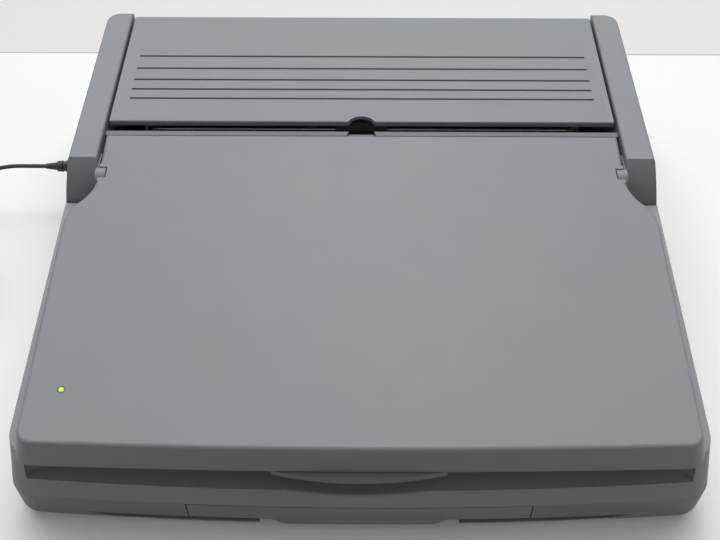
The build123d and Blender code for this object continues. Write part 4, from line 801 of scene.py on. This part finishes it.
@dataclass
class SupplyCord(Assembly):
    """The supply's lead, the coil it is wound into, and the adapter.

    The coil winds inward on the table, at the height low, and outward again a
    layer above it. Its last half turn is swing wider and ends in the adapter.
    """

    diameter: float = 0.0028
    length: float = 1.16
    lead: tuple[Point, ...] = (
        (-0.2125, 0.072, 0.038),
        (-0.223, 0.072, 0.038),
        (-0.236, 0.0717, 0.0384),
        (-0.2495, 0.071, 0.0356),
        (-0.262, 0.0699, 0.029),
        (-0.2735, 0.0686, 0.0195),
        (-0.286, 0.0671, 0.009),
        (-0.3, 0.066, 0.0023),
    )
    coil_x: float = -0.318
    coil_y: float = 0.066
    low: float = 0.0023
    layer: float = 0.0036
    outer: float = 0.024
    pitch: float = 0.0033
    half_turns: int = 9
    swing: float = 0.008
    adapter_z: float = 0.0032
    tail: float = 0.0056
    steps: int = 8

    def coil(self) -> tuple[np.ndarray, Point]:
        """Control points of the coil.

        Half turn by half turn, left and right in turn, a point is the half
        turn's centre plus its radius times the cosine and sine of its angle.
        The angles lie midway between the steps and the radius is over the cosine
        of half a step, so the spline keeps the half turn's own radius.

        Returns:
            One row per point, and where the coil ends.
        """
        inward = self.outer - self.pitch / 2 * np.arange(self.half_turns + 1)
        radii = np.concatenate([inward, inward[1:-1][::-1], [self.outer + self.swing]])
        top = self.low + self.layer
        lower, upper = [self.low] * (self.half_turns + 1), [top] * self.half_turns
        levels = np.array([*lower, *upper, self.adapter_z])
        way = np.where(np.arange(len(radii)) % 2 == 0, -1.0, 1.0)
        ends = self.coil_y + np.concatenate([[0.0], np.cumsum(way * 2 * radii)])
        middles = (ends[:-1] + ends[1:]) / 2
        angle = (np.arange(self.steps) + 0.5) * pi / self.steps
        reach = (radii / cos(pi / self.steps / 2))[:, None]
        x = self.coil_x + way[:, None] * reach * np.sin(angle)
        y = middles[:, None] - way[:, None] * reach * np.cos(angle)
        rise = (levels[1:] - levels[:-1])[:, None]
        z = levels[:-1, None] + rise * (1 - np.cos(angle)) / 2
        points = np.stack([x, y, z], axis=-1).reshape(-1, 3)
        return points, (self.coil_x, float(ends[-1]), self.adapter_z)

    def build(self) -> None:
        """One spline from the plug to the adapter, and the finishes of what hangs on it."""
        coil, end = self.coil()
        points = np.concatenate([np.array(self.lead), coil, [(end[0] + self.tail, *end[1:])]])
        curve = bpy.data.curves.new("supply_cord", "CURVE")
        curve.dimensions = "3D"
        spline = curve.splines.new("NURBS")
        spline.points.add(len(points) - 1)
        spline.points.foreach_set("co", np.column_stack([points, np.ones(len(points))]).ravel())
        spline.order_u = 3
        spline.use_endpoint_u = True
        spline.resolution_u = 6
        curve.bevel_depth = self.diameter / 2
        curve.bevel_resolution = 4
        curve.use_fill_caps = True
        curve.materials.append(Look.CORD.material())
        cord = added("supply_cord", curve)
        self.settle(cord, "case", "cord_plastic", "cord_lead", "cord_coil")
        self.dress(Look.PLUG, "dc_plug")
        self.dress(Look.BLACK, "adapter_case")
        self.dress(Look.RUBBER, "cord_tie")
        self.dress(Look.NICKEL, "adapter_blades")
        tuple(self.lead[0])


@dataclass
class Casing(Assembly):
    """The tray and everything that closes it, with its feet, screws and handle.

    The sizes named dish_ shape the finger dish, whose front edge is rounded by
    edge_drop and edge_back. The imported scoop's floor lies between the heights
    floor_z, and band_z and band_y are points of the slanted band at x = 0.
    """

    ledge: float = 0.0355
    dish_half: float = 0.0412
    dish_dip: float = 0.003
    dish_rear: float = -0.1526
    dish_foot: float = 0.0262
    dish_skin: float = 0.0012
    dish_sink: float = 0.0005
    dish_lip: float = 0.0005
    dish_toe: float = 0.0002
    dish_columns: int = 49
    dish_rows: int = 9
    edge_drop: tuple[float, ...] = (0.00005, 0.0003, 0.0007, 0.0013)
    edge_back: tuple[float, ...] = (0.0006, 0.00018, 0.0, 0.0)
    floor_z: tuple[float, float] = (0.029, 0.031)
    band_z: tuple[float, ...] = (0.026, 0.034, 0.0534)
    band_y: tuple[float, ...] = (-0.17, -0.1655, -0.161)
    bow_radius: float = 2.475
    proud: float = 0.00003

    def band(self, x: np.ndarray, z: np.ndarray) -> np.ndarray:
        """y of the slanted band: its slope, plus the bow, x squared over twice its radius."""
        return np.interp(z, self.band_z, self.band_y) + x**2 / (2 * self.bow_radius)

    def trimmed_deck(self) -> bpy.types.Object:
        """Copy of the deck whose scoop floor ends at the slanted band.

        Points of the floor that stand ahead of the band move back onto it.

        Returns:
            The deck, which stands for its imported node.
        """
        node = self.frame["nodes"]["deck_case"]
        made = added("deck_trimmed", node.data.copy())
        made.matrix_world = node.matrix_world
        points = np.empty((len(made.data.vertices), 3), dtype=np.float32)
        made.data.vertices.foreach_get("co", points.ravel())
        x, y, z = points.T
        band = self.band(x, z)
        low, high = self.floor_z
        ahead = (abs(x) < self.dish_half) & (z > low) & (z < high) & (y < band)
        points[ahead, 1] = band[ahead]
        made.data.vertices.foreach_set("co", points.ravel())
        made.data.update()
        return made

    def scoop_dish(self) -> bpy.types.Object:
        """Shallow finger dish in the ledge under the latch.

        Its edge stands at the ledge's height less the dip times one minus the
        square of x over the half width. Each ring runs back below the dish,
        forward over its floor, whose middle sinks with a sine, over the rounded
        edge and down the slanted band.

        Returns:
            The dish with its front.
        """
        x = self.dish_half * np.sin(np.linspace(-pi / 2, pi / 2, self.dish_columns))[:, None]
        edge = self.ledge + self.proud - self.dish_dip * (1 - (x / self.dish_half) ** 2)
        round_z = edge - np.array([self.edge_drop])
        round_y = self.band(x, round_z) - self.proud + np.array([self.edge_back])
        share = np.linspace(0, 1, self.dish_rows)[None, :]
        floor_y = self.dish_rear + (round_y[:, :1] + self.dish_lip - self.dish_rear) * share
        floor_z = edge - self.dish_sink * np.sin(pi * share) * (self.ledge - edge) / self.dish_dip
        foot_z = np.full_like(x, self.dish_foot) + np.array([[self.dish_toe, 0.0]])
        foot_y = self.band(x, foot_z) - self.proud
        rear_y = np.full_like(x, self.dish_rear)
        y = np.hstack([foot_y[:, 1:] + self.dish_skin, rear_y, floor_y, round_y, foot_y])
        z = np.hstack([foot_z[:, 1:], edge - self.dish_skin, floor_z, round_z, foot_z])
        rings = np.stack(np.broadcast_arrays(x, y, z), axis=-1)
        return solid_of_rings("scoop_dish", rings[None], Look.CASE)

    def build(self) -> None:
        """Grained tray and deck, painted towers, black feet and the ledge's dish."""
        self.dress(Look.TRAY, "base_tray", "handle_guides")
        self.dress(Look.CASE, "deck_case", "carrying_handle")
        self.dress(Look.TROUGH, "hinge_trough")
        # the copy takes over the deck's finish, so it comes after it
        self.settle(self.trimmed_deck(), "case", "case_plastic", "deck_case")
        self.dress(Look.SHELL, "tower_right", "tower_left", "rear_panel")
        self.dress(Look.RUBBER, "rubber_feet")
        self.dress(Look.SCREW, "case_screws")
        self.dress(Look.BLACK, "power_switch", "dc_jack")
        self.settle(self.scoop_dish(), "case", "case_plastic")


@dataclass
class ScreenLid(Assembly):
    """The lid with its screen, lamp, latch and hinge."""

    slope: SlopeFrame = field(default_factory=SlopeFrame)
    lamp: Point = (-0.153, -0.1454, 0.0058)

    def build(self) -> None:
        """Painted shell over a darker bezel, and the screen behind it."""
        self.dress(Look.SHELL, "hinge_knuckles")
        self.dress(Look.BEZEL, "lid_bezel", "latch_bar")
        self.dress(Look.SCREEN, "lcd_panel")
        self.dress(Look.CHASSIS, "lcd_frame", "hinge_arms")
        self.dress(Look.BAR, "hinge_pins")
        self.dress(Look.RUBBER, "lid_bumpers")
        self.dress(Look.BLACK, "contrast_dial")
        middle = tuple(float(c) for c in self.slope.points(*self.lamp))
        self.dress(GlowingLens("lamp_glowing_lens", middle=middle), "led_lens")
        colour = Look.SHELL.value.colour
        self.dress(LampShadeAndGlowPaint("lid_satin_paint", colour=colour, middle=middle), "lid_shell")


@dataclass
class Keyboard(Assembly):
    """The keys in their well: dished caps on stems, and the plate below them.

    Heights are w. A row is its node, its middle up the slope and its widths in
    pitches from the left, where a negative one is a gap.
    """

    slope: SlopeFrame = field(default_factory=SlopeFrame)
    pitch: float = 0.019
    left: float = -7.5
    stem_foot: float = -0.0238
    stem_width: float = 0.005
    stem_corner: float = 0.0003
    foot: float = -0.0176
    top: float = -0.0116
    depth: float = 0.0172
    function_depth: float = 0.0126
    inward: tuple[float, ...] = (0.75, 0.5, 0.25, 0.06)
    dish: float = 0.0008
    dish_trim: float = 0.0066
    space_bow: float = -0.6
    space_trim: float = 0.006
    rows: tuple[tuple[str, float, tuple[float, ...]], ...] = (
        ("number_keys", -0.0765, (1.0,) * 15),
        ("upper_row_keys", -0.0955, (1.5,) + (1.0,) * 12 + (1.5,)),
        ("home_row_keys", -0.1145, (1.75,) + (1.0,) * 11 + (2.25,)),
        ("lower_row_keys", -0.1335, (2.25,) + (1.0,) * 9 + (1.25,)),
        ("function_keys", -0.0592, (1.0, -0.5) + ((1.0,) * 4 + (-0.5,)) * 2 + (1.0,) * 4),
        ("bottom_row_keys", -0.1525, (1.5, 1.25, 1.25, -5.0, 1.25, 1.25)),
        ("space_bar", -0.1525, (-4.0, 5.0)),
        ("cursor_keys", -0.1525, (-12.0, 1.0, 1.0, 1.0)),
    )

    def spots(self, label: str, v: float, widths: tuple[float, ...]) -> np.ndarray:
        """Middle and width of each key of a row.

        Args:
            label: the row's node.
            v: the row's middle up the slope.
            widths: the row's key widths.

        Returns:
            One row of u, v and width per key.
        """
        steps = np.array(widths)
        ends = np.cumsum(np.abs(steps))
        middles = self.left + ends - np.abs(steps) / 2
        keys = [(u * self.pitch, v, w * self.pitch) for u, w in zip(middles, steps) if w > 0]
        if label == "cursor_keys":
            keys.append(((self.left + 13.5) * self.pitch, v + self.pitch, self.pitch))
        return np.array(keys)

    def caps(self, label: str, v: float, widths: tuple[float, ...]) -> bpy.types.Object:
        """One row of keycaps.

        Rings run from the stem's foot up, out under the skirt, up the tapered
        sides, over a rounded shoulder and in across the top. On the top the
        height falls towards the middle with one minus the square of u over the
        half width, and on the space bar it rises instead with v.

        Args:
            label: the row's node.
            v: the row's middle up the slope.
            widths: the row's key widths.

        Returns:
            The row as one object.
        """
        keys = self.spots(label, v, widths)
        wide, deep = keys[:, 2, None], self.depth
        if label == "function_keys":
            deep = self.function_depth
        # height, trim off the width and depth, corner radius, shift up the slope, share of the dish
        cap = np.array(
            [
                (self.foot, 0.0018, 0.0, 0.0012, 0.0, 0.0),
                (self.foot + 0.0006, 0.0019, 0.0001, 0.0012, 0.0, 0.0),
                (self.top - 0.0009, 0.0054, 0.0034, 0.0019, 0.0004, 0.0),
                (self.top - 0.0003, 0.0058, 0.0038, 0.0019, 0.0005, 0.1),
                (self.top, 0.0066, 0.0046, 0.0018, 0.0005, 0.3),
                (self.top, 0.0076, 0.0056, 0.0016, 0.0005, 0.6),
            ]
        )
        stem = [(end, 0.0, 0.0, self.stem_corner, 0.0, 0.0) for end in (self.stem_foot, self.foot)]
        flat = np.repeat(cap[-1:], len(self.inward), axis=0)
        flat[:, 5] = 1.0
        height, trim_x, trim_y, corner, shift, share = np.vstack([stem, cap, flat]).T
        shrink = np.array([1.0] * (len(stem) + len(cap)) + [*self.inward])
        on_stem = np.arange(len(height)) < len(stem)
        half_x = np.where(on_stem, self.stem_width, wide - trim_x) / 2 * shrink
        half_y = np.where(on_stem, self.stem_width, deep - trim_y) / 2 * shrink
        across, along = np.moveaxis(rounded_rectangle(half_x, half_y, corner * shrink), -1, 0)
        if label == "space_bar":
            reach, bow = np.abs(along) / ((deep - self.space_trim) / 2), self.space_bow
        else:
            reach, bow = np.abs(across) / ((wide[..., None] - self.dish_trim) / 2), 1.0
        bowl = bow * (1 - np.clip(reach, 0, 1) ** 2)
        u = keys[:, 0, None, None] + across
        up = keys[:, 1, None, None] + along + shift[:, None]
        w = height[:, None] - self.dish * bowl * share[:, None]
        return solid_of_rings(f"{label}_caps", self.slope.points(u, up, w), Look.KEY)

    def build(self) -> None:
        """Caps for every row, and the dark plate below them."""
        for label, v, widths in self.rows:
            caps = self.caps(label, v, widths)
            self.settle(caps, f"{label}_body", "key_plastic", label)
        self.dress(Look.DARK, "keyboard_plate")


@dataclass
class DiskDrive(Assembly):
    """The disk drive in the right-hand side."""

    def build(self) -> None:
        """Black mouldings with a grey button."""
        self.dress(Look.BLACK, "floppy_drive", "floppy_shutter")
        self.dress(Look.PRINTER_GREY, "eject_button")


@dataclass
class Electronics(Assembly):
    """The boards and the speaker in the tray."""

    def build(self) -> None:
        """Green boards and a black speaker."""
        self.dress(Look.BOARD, "main_board", "power_board")
        self.dress(Look.BLACK, "speaker")


@dataclass
class PrinterBay(Assembly):
    """The thermal printer under its cover.

    The bail's rollers have their middles at roller_x, and roller gives places
    along the bar from there, with their radii, in millimetres.
    """

    roller_x: tuple[float, ...] = (-0.1, -0.05, 0.05, 0.1)
    roller: tuple[tuple[float, float], ...] = ((3.0, 2.1), (5.5, 2.05), (5.9, 1.85), (6.0, 1.55))
    roller_points: int = 24
    bail_y: float = 0.1272
    bail_z: float = 0.0739

    def bail_rollers(self) -> bpy.types.Object:
        """Rubber rollers on the bail's bar.

        A roller's points are its axis plus its radius times the cosine and sine
        of the angle; the radius rises from the bar over a rounded shoulder.

        Returns:
            The rollers as one object.
        """
        left = [(-place, radius) for place, radius in reversed(self.roller)]
        across, radius = np.array([*left, *self.roller]).T / 1000
        angle = np.linspace(0, 2 * pi, self.roller_points, endpoint=False)
        x = np.array(self.roller_x)[:, None, None] + across[None, :, None] + 0 * angle
        y = self.bail_y + radius[:, None] * np.cos(angle) + 0 * x
        z = self.bail_z + radius[:, None] * np.sin(angle) + 0 * x
        return solid_of_rings("bail_rollers", np.stack([x, y, z], axis=-1), Look.RUBBER)

    def build(self) -> None:
        """Painted cover, plated chassis, nylon gears and the rubber platen."""
        self.dress(Look.SHELL, "printer_cover")
        self.dress(Look.CHASSIS, "printer_chassis")
        self.dress(Look.BAR, "guide_shafts", "paper_bail")
        self.dress(Look.PLATEN, "platen_roller")
        self.dress(Look.NYLON, "platen_gear", "idler_gear", "motor_pinion")
        self.dress(Look.NYLON, "drive_pulley", "idle_pulley")
        self.dress(Look.SHEET, "feed_motor", "carriage_motor", "thermal_head")
        self.dress(Look.PRINTER_GREY, "print_carriage")
        self.dress(Look.RIBBON_CASE, "ribbon_cassette")
        self.dress(Look.RUBBER, "carriage_belt")
        self.settle(self.bail_rollers(), "bail", "black_rubber")


# -------- studio
@dataclass
class Studio:
    """Camera, lamps, world and table."""

    camera_place: Point = (0.0017, -0.3981, 0.4948)
    camera_turn: Point = (39.77, 0.0, 0.33)
    lens: float = 48.39
    sensor: float = 36.0
    suns: tuple[tuple[str, Point, float, float], ...] = (
        ("sun_rear_right", (0.45, 0.8, 1.2), 50.0, 1.0),
        ("sun_rear_left", (-0.45, 0.8, 1.2), 50.0, 1.18),
    )
    lamp_place: Point = (0.03, 0.3, 0.85)
    lamp_size: float = 0.3
    lamp_power: float = 1.3
    aim: Point = (0.0, 0.0, 0.05)
    sky: float = 0.27
    backdrop: float = 0.86
    table_half: float = 30.0

    def camera(self) -> None:
        """Camera at the photograph's place, pitch and lens."""
        data = bpy.data.cameras.new("view_camera")
        data.lens, data.sensor_width = self.lens, self.sensor
        data.clip_start, data.clip_end = 0.02, 60.0
        made = added("view_camera", data)
        made.location = self.camera_place
        made.rotation_euler = [radians(a) for a in self.camera_turn]
        bpy.context.scene.camera = made

    def hang(self, name: str, data: bpy.types.Light, place: Point) -> None:
        """Hangs a light at a place, facing the object."""
        made = added(name, data)
        made.location = place
        facing = (Vector(self.aim) - Vector(place)).to_track_quat("-Z", "Y")
        made.rotation_euler = facing.to_euler()

    def lights(self) -> None:
        """Two wide suns from behind, and a small lamp over the middle."""
        for name, place, angle, strength in self.suns:
            sun = bpy.data.lights.new(name, "SUN")
            sun.angle, sun.energy = radians(angle), strength
            self.hang(name, sun, place)
        lamp = bpy.data.lights.new("lamp_middle", "AREA")
        lamp.shape, lamp.size, lamp.energy = "SQUARE", self.lamp_size, self.lamp_power
        self.hang("lamp_middle", lamp, self.lamp_place)

    def world(self) -> None:
        """Even pale light, and a pale backdrop for what the camera and gloss see."""
        world = bpy.data.worlds.new("studio_air")
        tree = NodeTree(world)
        strength = tree.shown_ray() * (self.backdrop - self.sky) + self.sky
        inputs = {"Color": (1.0, 1.0, 1.0, 1.0), "Strength": strength}
        air = tree.node("ShaderNodeBackground", None, inputs)
        tree.node("ShaderNodeOutputWorld", None, {"Surface": air.outputs[0]})
        bpy.context.scene.world = world

    def table(self) -> None:
        """A wide table at the height of the feet."""
        far = self.table_half
        edge = [(-far, -far, 0.0), (far, -far, 0.0), (far, far, 0.0), (-far, far, 0.0)]
        mesh = bpy.data.meshes.new("table_top")
        mesh.from_pydata(edge, [], [(0, 1, 2, 3)])
        mesh.materials.append(TableTop("pale_table_top").material())
        made = added("table_top", mesh)

    def build(self) -> None:
        """Sets up everything that isn't the object."""
        self.camera()
        self.lights()
        self.world()
        self.table()
        bpy.context.scene.view_settings.view_transform = "Standard"


def main() -> None:
    """Builds the studio and every sub-assembly."""
    logging.basicConfig(level=logging.INFO, format="%(name)s: %(message)s")
    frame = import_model()
    Studio().build()
    for group in (SupplyCord, Casing, ScreenLid, Keyboard, DiskDrive, Electronics, PrinterBay):
        LOG.info("building %s", group.__name__)
        group(frame).build()
    bpy.context.view_layer.update()


if __name__ == "__main__":
    main()
